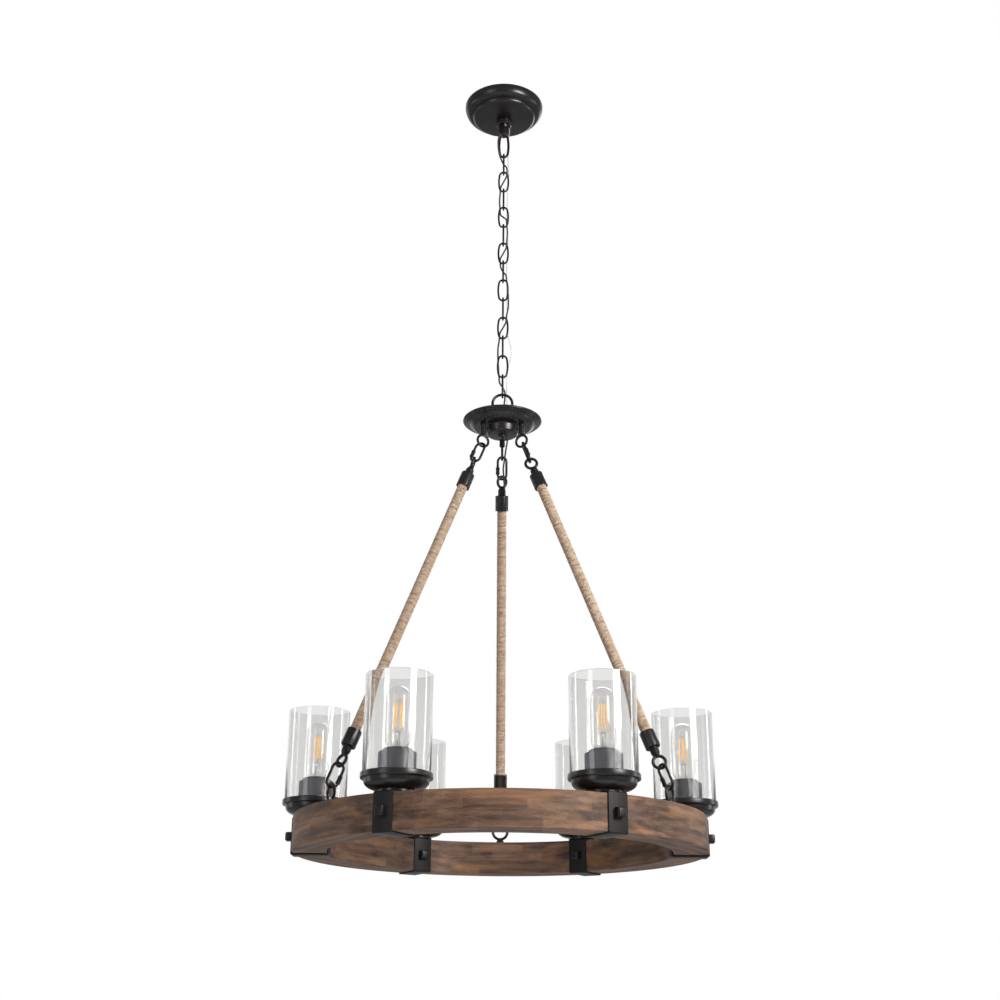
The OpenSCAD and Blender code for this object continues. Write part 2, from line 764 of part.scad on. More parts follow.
// The end turns of the winding, unrolled: how far round and how far along. The twine
// leaves one face straight, bends, winds, bends back and ends straight at the other.
function round_length() = 2 * PI * twine_mid_r;
function twine_flat() =
    let (
        round_l = round_length(),
        wound_l = end_turns * round_l,
        steps = end_turns * turn_rings,
        rise = end_turns * twine_pitch
    )
    concat(
        [[0, 0]],
        [for (t = [0:22.5:67.5]) [twine_bend * (1 - cos(t)), twine_d + twine_bend * sin(t)]],
        [for (k = [0:steps])
            [twine_bend + wound_l * k / steps, twine_d + twine_bend + rise * k / steps]],
        [for (t = [22.5:22.5:90])
            [twine_bend + wound_l + twine_bend * sin(t),
             twine_d + twine_bend + rise + twine_bend * (1 - cos(t))]],
        [[2 * twine_bend + wound_l, 2 * twine_d + 2 * twine_bend + rise]]
    );
twine_path = [
    for (p = twine_flat())
        let (turn = 360 * p.x / round_length())
        [twine_mid_r * cos(turn), twine_mid_r * sin(turn), p.y]
];
twine_refs = [for (p = twine_path) unit([p.x, p.y, 0])];

// The least gap of the twine to itself, between rings more than a quarter turn apart
twine_gaps = [
    for (i = [0:len(twine_path) - 1], j = [i + 1:1:len(twine_path) - 1])
        if (j - i > turn_rings / 4) norm(twine_path[i] - twine_path[j]) - twine_d
];
echo(str("least gap between the turns of twine: ", min(twine_gaps), " mm"));

// The winding of one rod, along +Z from the mouth of its upper ferrule: a plain core
// that is slotted for the twine's end, drawn turns at both ends, and a plain part
// inside each ferrule.
module rope_winding() {
    turns_total = turns_l + 2 * twine_d;
    start = -tuck_l;
    core_low = start + turns_total - slot_l + core_gap;
    plug_low = -ferrule_bore_l + core_gap;
    for (end = [0, 1])
        translate([0, 0, end * rope_l]) mirror([0, 0, end]) {
            translate([0, 0, start + seat_gap])
                tube(twine_path, twine_refs, twine_d, twine_sides);
            translate([0, 0, plug_low])
                difference() {
                    cylinder(d = rope_d, h = start - plug_low);
                    translate([0, 0, -over]) cylinder(r = rope_bore_r, h = ferrule_bore_l);
                }
        }
    difference() {
        translate([0, 0, core_low]) cylinder(d = rope_d, h = rope_l - 2 * core_low);
        translate([0, 0, -over]) cylinder(r = rope_bore_r, h = rope_l + 2 * over);
        for (end = [0, 1])
            translate([0, 0, end * rope_l]) mirror([0, 0, end])
                rotate([0, 0, 360 * (2 * twine_bend) / round_length()])
                    translate([rope_bore_r - over, -slot_half - twine_bend, core_low - over])
                        cube([rope_d, 2 * slot_half + twine_bend, slot_l + over]);
    }
}
module rope(azimuth) {
    color(rope_color)
        on_hanger(azimuth, rope_low, 0) rope_winding();
}

// The rod runs from one ferrule's floor to the other's.
module rod(azimuth) {
    floor_gap = 0.1;
    rod_l = rope_l + 2 * (ferrule_bore_l - floor_gap);
    rod_wall = 1.5;
    color(zinc_color)
        on_hanger(azimuth, rope_low + ferrule_bore_l - floor_gap, 0)
            difference() {
                cylinder(d = rod_d, h = rod_l);
                translate([0, 0, -over]) cylinder(d = rod_d - 2 * rod_wall, h = rod_l + 2 * over);
            }
}

// A ferrule standing on its mouth, closed at the top, with a small bevel
lead_hole_x = 4.5;
lead_hole_y = 7.3;
module ferrule(lead_hole) {
    bevel = 0.8;
    mouth_play = 0.3;
    difference() {
        rotate_extrude()
            polygon([
                [0, 0],
                [ferrule_d / 2 - bevel / 2, 0],
                [ferrule_d / 2, bevel / 2],
                [ferrule_d / 2, ferrule_l - bevel],
                [ferrule_d / 2 - bevel, ferrule_l],
                [0, ferrule_l]
            ]);
        translate([0, 0, -over])
            cylinder(d = rope_d + 2 * mouth_play, h = ferrule_bore_l + over);
        if (lead_hole)
            translate([lead_hole_y, lead_hole_x, ferrule_bore_l - over])
                cylinder(d = lead_d + 2 * mouth_play, h = ferrule_l);
    }
}

module ferrules(azimuth) {
    color(dark_steel_color) {
        on_hanger(azimuth, rope_top, 0) ferrule(azimuth == back_azimuth);
        on_hanger(azimuth, rope_low, 0) rotate([180, 0, 0]) ferrule(false);
    }
}

// An eye on its stout neck, which has two grooves, standing up from z = 0
module rod_eye() {
    neck_h = rod_eye_out - rod_eye_mid_r;
    groove = 0.6;
    groove_z = [2.4, 5];
    taper_z = 8;
    top_r = 4.4;
    translate([0, 0, rod_eye_out]) wire_ring(rod_eye_mid_r, rod_eye_wire);
    rotate_extrude()
        polygon(concat(
            [[0, 0], [rod_neck_r, 0]],
            [for (z = groove_z)
                each [[rod_neck_r, z - groove], [rod_neck_r - groove, z], [rod_neck_r, z + groove]]],
            [[rod_neck_r, taper_z], [top_r, neck_h], [0, neck_h]]
        ));
}

module rod_eyes(azimuth, turns) {
    color(dark_steel_color) {
        on_hanger(azimuth, upper_ferrule_top, turns[1]) rod_eye();
        on_hanger(azimuth, lower_ferrule_low, turns[2]) rotate([180, 0, 0]) rod_eye();
    }
}

module quick_links(azimuth, turns) {
    color(dark_steel_color) {
        on_hanger(azimuth, upper_quick_mid, turns[0]) quick_link();
        on_hanger(azimuth, lower_quick_mid, turns[3]) quick_link();
    }
}

module bevelled_section() {
    b = rim_bevel;
    polygon([
        [rim_in_r + b, rim_low],
        [rim_r - b, rim_low],
        [rim_r, rim_low + b],
        [rim_r, rim_top - b],
        [rim_r - b, rim_top],
        [rim_in_r + b, rim_top],
        [rim_in_r, rim_top - b],
        [rim_in_r, rim_low + b]
    ]);
}

// The felloes meet under the straps; they are bored for bolts, socket tubes and eyes.
module felloes() {
    gap_angle = felloe_gap / rim_r * 180 / PI;
    color(wood_color)
        difference() {
            for (azimuth = lamp_azimuths)
                rotate([0, 0, azimuth + gap_angle / 2 - 90])
                    rotate_extrude(angle = lamp_step - gap_angle) bevelled_section();
            for (azimuth = lamp_azimuths)
                at_azimuth(azimuth) {
                    translate([0, -rim_in_r + 5 * over, rim_mid_z])
                        rotate([90, 0, 0]) cylinder(r = bolt_d / 2 + hole_play, h = rim_t + 10 * over);
                    translate([0, -lamp_ring_r, rim_top - stud_l - over])
                        cylinder(r = stud_hole_r, h = stud_l + 2 * over);
                }
            for (azimuth = hanger_azimuths)
                at_azimuth(azimuth)
                    translate([0, -ring_eye_ring_r, rim_top - ring_eye_shank_l - over])
                        cylinder(r = ring_eye_shank_d / 2 + thread_play, h = ring_eye_shank_l + 2 * over);
        }
}

// A rectangle with round corners, drawn from its corner
module rounded_rectangle(size, r) {
    translate([r, 0]) square([size.x - 2 * r, size.y]);
    translate([0, r]) square([size.x, size.y - 2 * r]);
    for (x = [r, size.x - r], y = [r, size.y - r])
        translate([x, y]) circle(r = r);
}

// A band bent round the rim, drilled for its bolt and for the socket's tube
module straps() {
    band = [strap_out - strap_in, rim_h + strap_rise];
    color(steel_color)
        for (azimuth = lamp_azimuths)
            at_azimuth(azimuth)
                difference() {
                    translate([strap_w / 2, 0, rim_top])
                        rotate([0, -90, 0])
                            rotate([0, 0, -90])
                                linear_extrude(strap_w)
                                    difference() {
                                        translate([strap_in - strap_t, -band.y - strap_t])
                                            rounded_rectangle(band + 2 * [strap_t, strap_t], strap_bend);
                                        translate([strap_in, -band.y])
                                            rounded_rectangle(band, strap_bend - strap_t);
                                    }
                    translate([0, -strap_in + strap_t + over, rim_mid_z])
                        rotate([90, 0, 0])
                            cylinder(r = bolt_d / 2 + hole_play, h = band.x + 2 * (strap_t + over));
                    translate([0, -lamp_ring_r, rim_top - over])
                        cylinder(r = stud_hole_r, h = strap_t + 2 * over);
                }
}

// A square head or nut, bevelled at its outer end, pointing along +Z
module square_head() {
    bevel = 2.2;
    corner_r = bolt_head_w / sqrt(2);
    edge_r = corner_r + over;
    intersection() {
        translate([-bolt_head_w / 2, -bolt_head_w / 2, 0])
            cube([bolt_head_w, bolt_head_w, bolt_head_l]);
        rotate_extrude()
            polygon([
                [0, 0],
                [edge_r, 0],
                [edge_r, bolt_head_l - bevel - over],
                [corner_r - bevel, bolt_head_l],
                [0, bolt_head_l]
            ]);
    }
}

// Each bolt has its square head outside and a square nut inside the wheel.
module strap_bolts() {
    bolt_end = 3;
    color(dark_steel_color)
        for (azimuth = lamp_azimuths)
            at_azimuth(azimuth) {
                translate([0, -strap_out - strap_t - seat_gap, rim_mid_z])
                    rotate([90, 0, 0]) square_head();
                translate([0, -strap_in + strap_t + bolt_end, rim_mid_z])
                    rotate([90, 0, 0])
                        cylinder(d = bolt_d, h = strap_out - strap_in + 2 * strap_t + bolt_end + seat_gap);
                translate([0, -strap_in + strap_t + seat_gap, rim_mid_z])
                    rotate([-90, 0, 0])
                        difference() {
                            square_head();
                            translate([0, 0, -over])
                                cylinder(r = bolt_d / 2 + thread_play, h = bolt_end + over + 2 * thread_play);
                        }
            }
}

module ring_eyes() {
    base_r = 6.8;
    base_h = 2;
    neck_r = 4.2;
    neck_l = ring_eye_up - ring_eye_mid_r;
    color(dark_steel_color)
        for (azimuth = hanger_azimuths)
            at_azimuth(azimuth)
                translate([0, -ring_eye_ring_r, 0]) {
                    translate([0, 0, ring_eye_z]) wire_ring(ring_eye_mid_r, ring_eye_wire);
                    translate([0, 0, rim_top])
                        rotate_extrude()
                            polygon([
                                [0, 0],
                                [base_r, 0],
                                [base_r, base_h],
                                [neck_r, neck_l],
                                [0, neck_l]
                            ]);
                    translate([0, 0, rim_top - ring_eye_shank_l])
                        cylinder(d = ring_eye_shank_d, h = ring_eye_shank_l + over);
                }
}

// Puts a piece on the strap of one lamp
module at_lamp(azimuth) {
    at_azimuth(azimuth) translate([0, -lamp_ring_r, lamp_z]) children();
}

// A turned pan: foot, bowl, ledge and an upright rim with the seat for the glass
module lamp_pans() {
    bowl_n = 6;
    bevel = 1;
    bowl_w = pan_ledge_r - pan_foot_r;
    step_z = pan_ledge_z + pan_step_h;
    seat_r = shade_r + shade_play;
    seat_z = shade_low - shade_gap;
    floor_r = cup_r + 0.6;
    inner_w = pan_ledge_r - pan_wall - floor_r;
    outer = concat(
        [[stud_hole_r, 0], [pan_foot_r, 0]],
        [for (i = [0:bowl_n])
            let (t = 90 * i / bowl_n)
            [pan_foot_r + bowl_w * sin(t), pan_foot_h + (pan_ledge_z - pan_foot_h) * (1 - cos(t))]],
        [[pan_ledge_r, step_z], [pan_r - bevel, step_z], [pan_r, step_z + bevel],
         [pan_r, pan_h - bevel], [pan_r - bevel, pan_h], [seat_r, pan_h]]
    );
    inner = concat(
        [[seat_r, seat_z]],
        [for (i = [bowl_n:-1:0])
            let (t = 90 * i / bowl_n)
            [floor_r + inner_w * sin(t), pan_floor + (seat_z - pan_floor) * (1 - cos(t))]],
        [[stud_hole_r, pan_floor]]
    );
    color(steel_color)
        for (azimuth = lamp_azimuths)
            at_lamp(azimuth) rotate_extrude() polygon(concat(outer, inner));
}

module socket_sleeves() {
    color(dark_steel_color)
        for (azimuth = lamp_azimuths)
            at_lamp(azimuth)
                translate([0, 0, pan_floor])
                    difference() {
                        cylinder(r = cup_r, h = cup_h);
                        translate([0, 0, cup_wall]) cylinder(r = cup_r - cup_wall, h = cup_h);
                        translate([0, 0, -over]) cylinder(r = stud_hole_r, h = cup_wall + 2 * over);
                    }
}

// Each socket stands on the tube that holds the sleeve and the pan down to the rim.
wire_room = 8;
module sockets() {
    bore_r = bulb_base_r + bulb_gap;
    color(socket_color)
        for (azimuth = lamp_azimuths)
            at_lamp(azimuth)
                difference() {
                    union() {
                        translate([0, 0, socket_low]) cylinder(r = socket_r, h = socket_top - socket_low);
                        translate([0, 0, -strap_t - stud_l])
                            cylinder(d = stud_d, h = socket_low + strap_t + stud_l + over);
                    }
                    translate([0, 0, socket_top - socket_bore_l])
                        cylinder(r = bore_r, h = socket_bore_l + over);
                    translate([0, 0, -strap_t - stud_l - over])
                        cylinder(d = stud_bore, h = stud_l + strap_t + socket_low + wire_room);
                }
}

module shade(number) {
    edge = 0.5;
    color(glass_color)
        at_lamp(lamp_azimuths[number - 1])
            translate([0, 0, shade_low])
                rotate_extrude()
                    polygon([
                        [shade_r - shade_wall, edge],
                        [shade_r - shade_wall + edge, 0],
                        [shade_r - edge, 0],
                        [shade_r, edge],
                        [shade_r, shade_h - edge],
                        [shade_r - edge, shade_h],
                        [shade_r - shade_wall + edge, shade_h],
                        [shade_r - shade_wall, shade_h - edge]
                    ]);
}

bulb_neck_in = 0.5;
bulb_flare_l = 12;
bulb_seam = 0.2;

// The outline of a bulb's glass, up from its base, drawn in by the given wall
function bulb_outline(wall) =
    let (
        neck_r = bulb_base_r - bulb_neck_in,
        neck_top = socket_top + bulb_neck_in,
        body_low = socket_top + bulb_flare_l
    )
    concat(
        [[neck_r - wall, bulb_base_top], [neck_r - wall, neck_top]],
        [for (i = [1:5])
            [neck_r - wall + (bulb_r - neck_r) * (1 - cos(36 * i)) / 2,
             neck_top + (body_low - neck_top) * i / 5]],
        [for (i = [0:5])
            [max((bulb_r - wall) * cos(18 * i), 0),
             bulb_top - bulb_r + (bulb_r - wall) * sin(18 * i)]]
    );

// A bulb: its screw base, its glass, and the stem with four filaments
module bulb(number) {
    tip_r = 5;
    shell_h = 2;
    stem_r = 4;
    stem_gap = 3;
    support_d = 0.9;
    glass = bulb_outline(0);
    glass_inside = bulb_outline(bulb_wall);
    stem_l = filament_low - bulb_base_top - stem_gap;
    at_lamp(lamp_azimuths[number - 1]) {
        color(brass_color)
            rotate_extrude()
                polygon([
                    [0, bulb_low],
                    [tip_r, bulb_low],
                    [bulb_base_r - shell_h, bulb_low + bulb_tip_h],
                    [bulb_base_r, bulb_low + bulb_tip_h + shell_h],
                    [bulb_base_r, bulb_base_top - bulb_seam],
                    [0, bulb_base_top - bulb_seam]
                ]);
        color(glass_color)
            rotate_extrude()
                polygon(concat(glass, [for (i = [len(glass) - 1:-1:0]) glass_inside[i]]));
        color(filament_color) {
            translate([0, 0, bulb_base_top - bulb_seam])
                cylinder(r1 = stem_r, r2 = stem_r / 2, h = stem_l);
            translate([0, 0, filament_low - stem_gap - over])
                cylinder(d = support_d, h = filament_l + stem_gap + over + support_d / 2);
            for (turn = [45:90:315])
                rotate([0, 0, turn - lamp_azimuths[number - 1]]) {
                    translate([filament_ring_r, 0, filament_low]) cylinder(d = filament_d, h = filament_l);
                    for (z = [filament_low, filament_top])
                        translate([0, 0, z])
                            rotate([0, 90, 0]) cylinder(d = support_d, h = filament_ring_r);
                }
        }
    }
}

crossbar();
nipple();
canopy();
canopy_collar();
canopy_loop();
chain_link(1);  // chain_link_01
chain_link(2);  // chain_link_02
chain_link(3);  // chain_link_03
chain_link(4);  // chain_link_04
chain_link(5);  // chain_link_05
chain_link(6);  // chain_link_06
chain_link(7);  // chain_link_07
chain_link(8);  // chain_link_08
chain_link(9);  // chain_link_09
chain_link(10);  // chain_link_10
chain_link(11);  // chain_link_11
chain_link(12);  // chain_link_12
chain_link(13);  // chain_link_13
supply_lead();
earth_wire();
back_lead();
hub_loop();
hub_plate();
hub_cover();
hub_stem();
hub_eyes();
rod(left_azimuth);  // left_rod
rope(left_azimuth);  // left_rope
ferrules(left_azimuth);  // left_ferrules
rod_eyes(left_azimuth, left_turns);  // left_rod_eyes
quick_links(left_azimuth, left_turns);  // left_quick_links
rod(right_azimuth);  // right_rod
rope(right_azimuth);  // right_rope
ferrules(right_azimuth);  // right_ferrules
rod_eyes(right_azimuth, right_turns);  // right_rod_eyes
quick_links(right_azimuth, right_turns);  // right_quick_links
rod(back_azimuth);  // back_rod
rope(back_azimuth);  // back_rope
ferrules(back_azimuth);  // back_ferrules
rod_eyes(back_azimuth, back_turns);  // back_rod_eyes
quick_links(back_azimuth, back_turns);  // back_quick_links
felloes();
straps();
strap_bolts();
ring_eyes();
lamp_pans();
socket_sleeves();
sockets();
shade(1);  // shade_1
shade(2);  // shade_2
shade(3);  // shade_3
shade(4);  // shade_4
shade(5);  // shade_5
shade(6);  // shade_6
bulb(1);  // bulb_1
bulb(2);  // bulb_2
bulb(3);  // bulb_3
bulb(4);  // bulb_4
bulb(5);  // bulb_5
bulb(6);  // bulb_6
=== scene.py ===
import json
import math

import bmesh
import bpy
from mathutils import Matrix, Vector, noise


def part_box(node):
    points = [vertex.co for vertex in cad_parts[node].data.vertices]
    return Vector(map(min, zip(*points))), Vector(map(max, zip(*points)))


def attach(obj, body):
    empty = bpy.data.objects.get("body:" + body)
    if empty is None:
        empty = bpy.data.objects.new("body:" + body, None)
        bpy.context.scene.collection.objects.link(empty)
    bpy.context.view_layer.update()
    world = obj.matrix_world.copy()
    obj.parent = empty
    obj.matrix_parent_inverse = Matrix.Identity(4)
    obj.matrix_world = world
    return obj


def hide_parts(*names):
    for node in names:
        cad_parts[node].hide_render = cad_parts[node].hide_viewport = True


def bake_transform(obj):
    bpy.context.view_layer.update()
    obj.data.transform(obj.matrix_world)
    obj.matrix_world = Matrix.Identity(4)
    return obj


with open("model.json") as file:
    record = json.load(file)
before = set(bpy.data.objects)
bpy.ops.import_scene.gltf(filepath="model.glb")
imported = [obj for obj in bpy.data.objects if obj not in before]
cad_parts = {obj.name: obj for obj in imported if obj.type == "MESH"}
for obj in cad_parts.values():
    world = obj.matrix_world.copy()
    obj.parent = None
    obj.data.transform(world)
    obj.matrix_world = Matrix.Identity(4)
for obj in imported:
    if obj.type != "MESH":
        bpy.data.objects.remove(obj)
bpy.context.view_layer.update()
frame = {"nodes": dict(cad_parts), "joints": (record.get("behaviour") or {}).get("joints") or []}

mm = 0.001
joints = {j["name"]: j for j in frame["joints"]}
cadNodes = frame["nodes"]
print("frame loaded:", len(cadNodes), "nodes")

def turned(degrees, axis="Z"):
    return Matrix.Rotation(math.radians(degrees), 4, axis)


def shifted(x, y, z):
    return Matrix.Translation((x, y, z))


# camera, lights and world

cameraSet = {
    "place": (0.0, -2.0713, -1.5581),
    "pitchUp": 20.99,  # degrees above the horizon
    "turnLeft": 0.086,
    "roll": 0.34,
    "lens": 49.32,  # on a sensor 36 mm wide
}


def makeCamera():
    data = bpy.data.cameras.new("viewCamera")
    data.sensor_width = 36
    data.lens = cameraSet["lens"]
    data.clip_start = 0.01
    camera = bpy.data.objects.new("viewCamera", data)
    camera.location = cameraSet["place"]
    turn = turned(cameraSet["turnLeft"])
    pitch = turned(90 + cameraSet["pitchUp"], "X")
    roll = turned(cameraSet["roll"])
    camera.rotation_euler = (turn @ pitch @ roll).to_euler()
    bpy.context.collection.objects.link(camera)
    bpy.context.scene.camera = camera


lightSet = {  # place, aimed at, width, height, power, colour
    "keyRight": ((1.14, -1.2, -0.63), (0.1, 0, -1.0), 0.62, 0.62, 31, (1.0, 0.99, 0.97)),
    "fillLeft": ((-1.55, -1.95, -1.0), (0, 0, -1.1), 0.7, 1.8, 10, (0.95, 0.96, 1.0)),
    "stripLeft": ((-1.7, 0.3, -1.1), (0, 0, -1.2), 0.2, 1.4, 3, (1, 1, 1)),
    "stripRight": ((1.7, 0.3, -1.1), (0, 0, -1.2), 0.2, 1.4, 5, (1, 1, 1)),
    "rearTop": ((0.6, 1.9, 0.2), (0, 0, -0.9), 1.4, 1.0, 12, (1, 1, 1)),
    "underFill": ((0, -0.6, -2.35), (0, 0, -1.2), 1.6, 1.6, 3, (1, 1, 1)),
}


def makeLights():
    for name, (place, target, width, height, power, colour) in lightSet.items():
        data = bpy.data.lights.new(name, "AREA")
        data.shape = "RECTANGLE"
        data.size = width
        data.size_y = height
        data.energy = power
        data.color = colour
        lamp = bpy.data.objects.new(name, data)
        lamp.location = place
        lamp.rotation_euler = (Vector(target) - Vector(place)).to_track_quat("-Z", "Y").to_euler()
        lamp.visible_camera = False
        bpy.context.collection.objects.link(lamp)


# small helpers for node trees


def setSocket(tree, socket, value):
    if isinstance(value, bpy.types.NodeSocket):
        tree.links.new(value, socket)
    else:
        socket.default_value = value


def addNode(tree, kind, settings=None, sockets=None):
    made = tree.nodes.new(kind)
    for name, value in (settings or {}).items():
        setattr(made, name, value)
    for key, value in (sockets or {}).items():
        setSocket(tree, made.inputs[key], value)
    return made


def mathNode(tree, operation, a, b=0.0, c=0.0):
    return addNode(tree, "ShaderNodeMath", {"operation": operation}, {0: a, 1: b, 2: c}).outputs[0]


def vectorMath(tree, operation, a, b=(0, 0, 0)):
    return addNode(tree, "ShaderNodeVectorMath", {"operation": operation}, {0: a, 1: b}).outputs[0]


def rampNode(tree, source, stops):
    made = addNode(tree, "ShaderNodeValToRGB", None, {0: source})
    elements = made.color_ramp.elements
    elements[0].position = stops[0][0]
    elements[1].position = stops[-1][0]
    for place, colour in stops[1:-1]:
        elements.new(place)
    for element, (place, colour) in zip(elements, stops):
        element.color = (*colour, 1)
    return made.outputs[0]


def mixColours(tree, amount, first, second):
    made = addNode(tree, "ShaderNodeMix", {"data_type": "RGBA"}, {0: amount})
    for index, value in ((6, first), (7, second)):
        setSocket(tree, made.inputs[index], value if isinstance(value, bpy.types.NodeSocket) else (*value, 1))
    return made.outputs[2]


def noiseNode(tree, place, size, detail=3.0, roughness=0.55):
    sockets = {"Vector": place, "Scale": 1 / size, "Detail": detail, "Roughness": roughness}
    return addNode(tree, "ShaderNodeTexNoise", None, sockets).outputs[0]


def objectPlace(tree):
    return addNode(tree, "ShaderNodeTexCoord").outputs["Object"]


def stretched(tree, place, scale):
    return addNode(tree, "ShaderNodeMapping", None, {"Vector": place, "Scale": scale}).outputs[0]


def bumpNode(tree, height, distance, strength):
    sockets = {"Height": height, "Distance": distance, "Strength": strength}
    return addNode(tree, "ShaderNodeBump", None, sockets).outputs[0]


def ranged(tree, value, low, high, most):
    return addNode(tree, "ShaderNodeMapRange", None, {0: value, 1: low, 2: high, 3: 0.0, 4: most}).outputs[0]


def joinedVector(tree, x=0.0, y=0.0, z=0.0):
    return addNode(tree, "ShaderNodeCombineXYZ", None, {0: x, 1: y, 2: z}).outputs[0]


def splitAttribute(tree, label):
    vector = addNode(tree, "ShaderNodeAttribute", {"attribute_name": label}).outputs["Vector"]
    return vector, addNode(tree, "ShaderNodeSeparateXYZ", None, {0: vector}).outputs


def lightPath(tree, *labels):
    path = addNode(tree, "ShaderNodeLightPath").outputs
    seen = path[labels[0]]
    for label in labels[1:]:
        seen = mathNode(tree, "MAXIMUM", seen, path[label])
    return seen


def newMaterial(name, shaderValues):
    material = bpy.data.materials.new(name)
    material.use_nodes = True
    shader = material.node_tree.nodes["Principled BSDF"]
    for label, value in shaderValues.items():
        shader.inputs[label].default_value = value
    return material, material.node_tree, shader


def dress(tree, shader, colour=None, roughness=None, normal=None):
    for label, value in (("Base Color", colour), ("Roughness", roughness), ("Normal", normal)):
        if value is not None:
            setSocket(tree, shader.inputs[label], value)


def makeWorld():
    world = bpy.data.worlds.new("studioWorld")
    world.use_nodes = True
    tree = world.node_tree
    tree.nodes.clear()
    seen = lightPath(tree, "Is Camera Ray", "Is Transmission Ray")
    soft = addNode(tree, "ShaderNodeBackground", None, {0: (0.96, 0.97, 1.0, 1), 1: 0.33})
    white = addNode(tree, "ShaderNodeBackground", None, {0: (1, 1, 1, 1), 1: 1.0})
    mixed = addNode(tree, "ShaderNodeMixShader", None, {0: seen, 1: soft.outputs[0], 2: white.outputs[0]})
    addNode(tree, "ShaderNodeOutputWorld", None, {0: mixed.outputs[0]})
    bpy.context.scene.world = world


makeCamera()
makeLights()
makeWorld()
bpy.context.scene.view_settings.view_transform = "Standard"
print("camera, lights and world ready")

# finishes

blackSet = {"tone": (0.0072, 0.0064, 0.0062), "brown": (0.0105, 0.0082, 0.0074), "worn": (0.032, 0.028, 0.026)}


def blackSteel(name, speckle, roughness, shine, tone=blackSet["tone"]):
    values = {"Roughness": roughness, "Specular IOR Level": shine}
    material, tree, shader = newMaterial(name, values)
    place = objectPlace(tree)
    cloudy = noiseNode(tree, place, 0.035, 4)
    colour = mixColours(tree, cloudy, tone, blackSet["brown"])
    fine = noiseNode(tree, place, 0.0009, 2)
    worn = mathNode(tree, "MULTIPLY", cloudy, fine)
    colour = mixColours(tree, mathNode(tree, "GREATER_THAN", worn, 0.52), colour, blackSet["worn"])
    rough = mathNode(tree, "MULTIPLY_ADD", cloudy, 0.16, roughness - 0.08)
    powder = noiseNode(tree, place, speckle, 2, 0.6)
    dress(tree, shader, colour, rough, bumpNode(tree, powder, 0.00004, 0.4))
    return material


woodSet = {
    "stops": [
        (0.32, (0.030, 0.016, 0.010)),
        (0.44, (0.082, 0.043, 0.026)),
        (0.56, (0.158, 0.085, 0.049)),
        (0.69, (0.285, 0.155, 0.085)),
    ],
    "mauve": (0.135, 0.085, 0.068),
    "amber": (0.300, 0.140, 0.055),
    "pore": (0.030, 0.015, 0.010),
    "staveHeight": 0.0128,  # metres
    "staveLength": 0.083,
}


def stainedWood():
    material, tree, shader = newMaterial("stainedWood", {"Roughness": 0.6, "Specular IOR Level": 0.35})
    place, split = splitAttribute(tree, "grainPlace")
    wave = noiseNode(tree, stretched(tree, place, (4, 14, 14)), 1.0, 2)
    bent = vectorMath(tree, "ADD", place, joinedVector(tree, z=mathNode(tree, "MULTIPLY", wave, 0.006)))
    bands = noiseNode(tree, stretched(tree, bent, (5, 90, 120)), 1.0, 5, 0.6)
    fibres = noiseNode(tree, stretched(tree, bent, (38, 900, 1100)), 1.0, 3, 0.65)
    patches = noiseNode(tree, stretched(tree, place, (14, 30, 34)), 1.0, 3, 0.5)
    row = mathNode(tree, "FLOOR", mathNode(tree, "MULTIPLY", split[2], 1 / woodSet["staveHeight"]))
    shift = mathNode(tree, "FRACT", mathNode(tree, "MULTIPLY", row, 0.618))
    column = mathNode(tree, "FLOOR", mathNode(tree, "MULTIPLY_ADD", split[0], 1 / woodSet["staveLength"], shift))
    cell = joinedVector(tree, column, row)
    stave = addNode(tree, "ShaderNodeTexWhiteNoise", {"noise_dimensions": "3D"}, {0: cell}).outputs["Value"]
    tone = mathNode(tree, "MULTIPLY_ADD", fibres, 0.30, mathNode(tree, "MULTIPLY", bands, 0.70))
    tone = mathNode(tree, "MULTIPLY_ADD", mathNode(tree, "SUBTRACT", stave, 0.5), 0.13, tone)
    tone = mathNode(tree, "MULTIPLY_ADD", mathNode(tree, "SUBTRACT", patches, 0.5), 0.26, tone)
    colour = rampNode(tree, tone, woodSet["stops"])
    greyness = ranged(tree, patches, 0.50, 0.72, 0.55)
    colour = mixColours(tree, greyness, colour, woodSet["mauve"])
    warmth = noiseNode(tree, stretched(tree, place, (9, 40, 46)), 1.0, 2)
    colour = mixColours(tree, ranged(tree, warmth, 0.56, 0.72, 0.55), colour, woodSet["amber"])
    pores = noiseNode(tree, stretched(tree, place, (110, 1500, 1700)), 1.0, 2, 0.5)
    pores = ranged(tree, pores, 0.36, 0.30, 0.7)
    colour = mixColours(tree, pores, colour, woodSet["pore"])
    rough = mathNode(tree, "MULTIPLY_ADD", fibres, 0.25, 0.46)
    relief = mathNode(tree, "MULTIPLY_ADD", pores, -0.6, fibres)
    dress(tree, shader, colour, rough, bumpNode(tree, relief, 0.00035, 0.55))
    return material


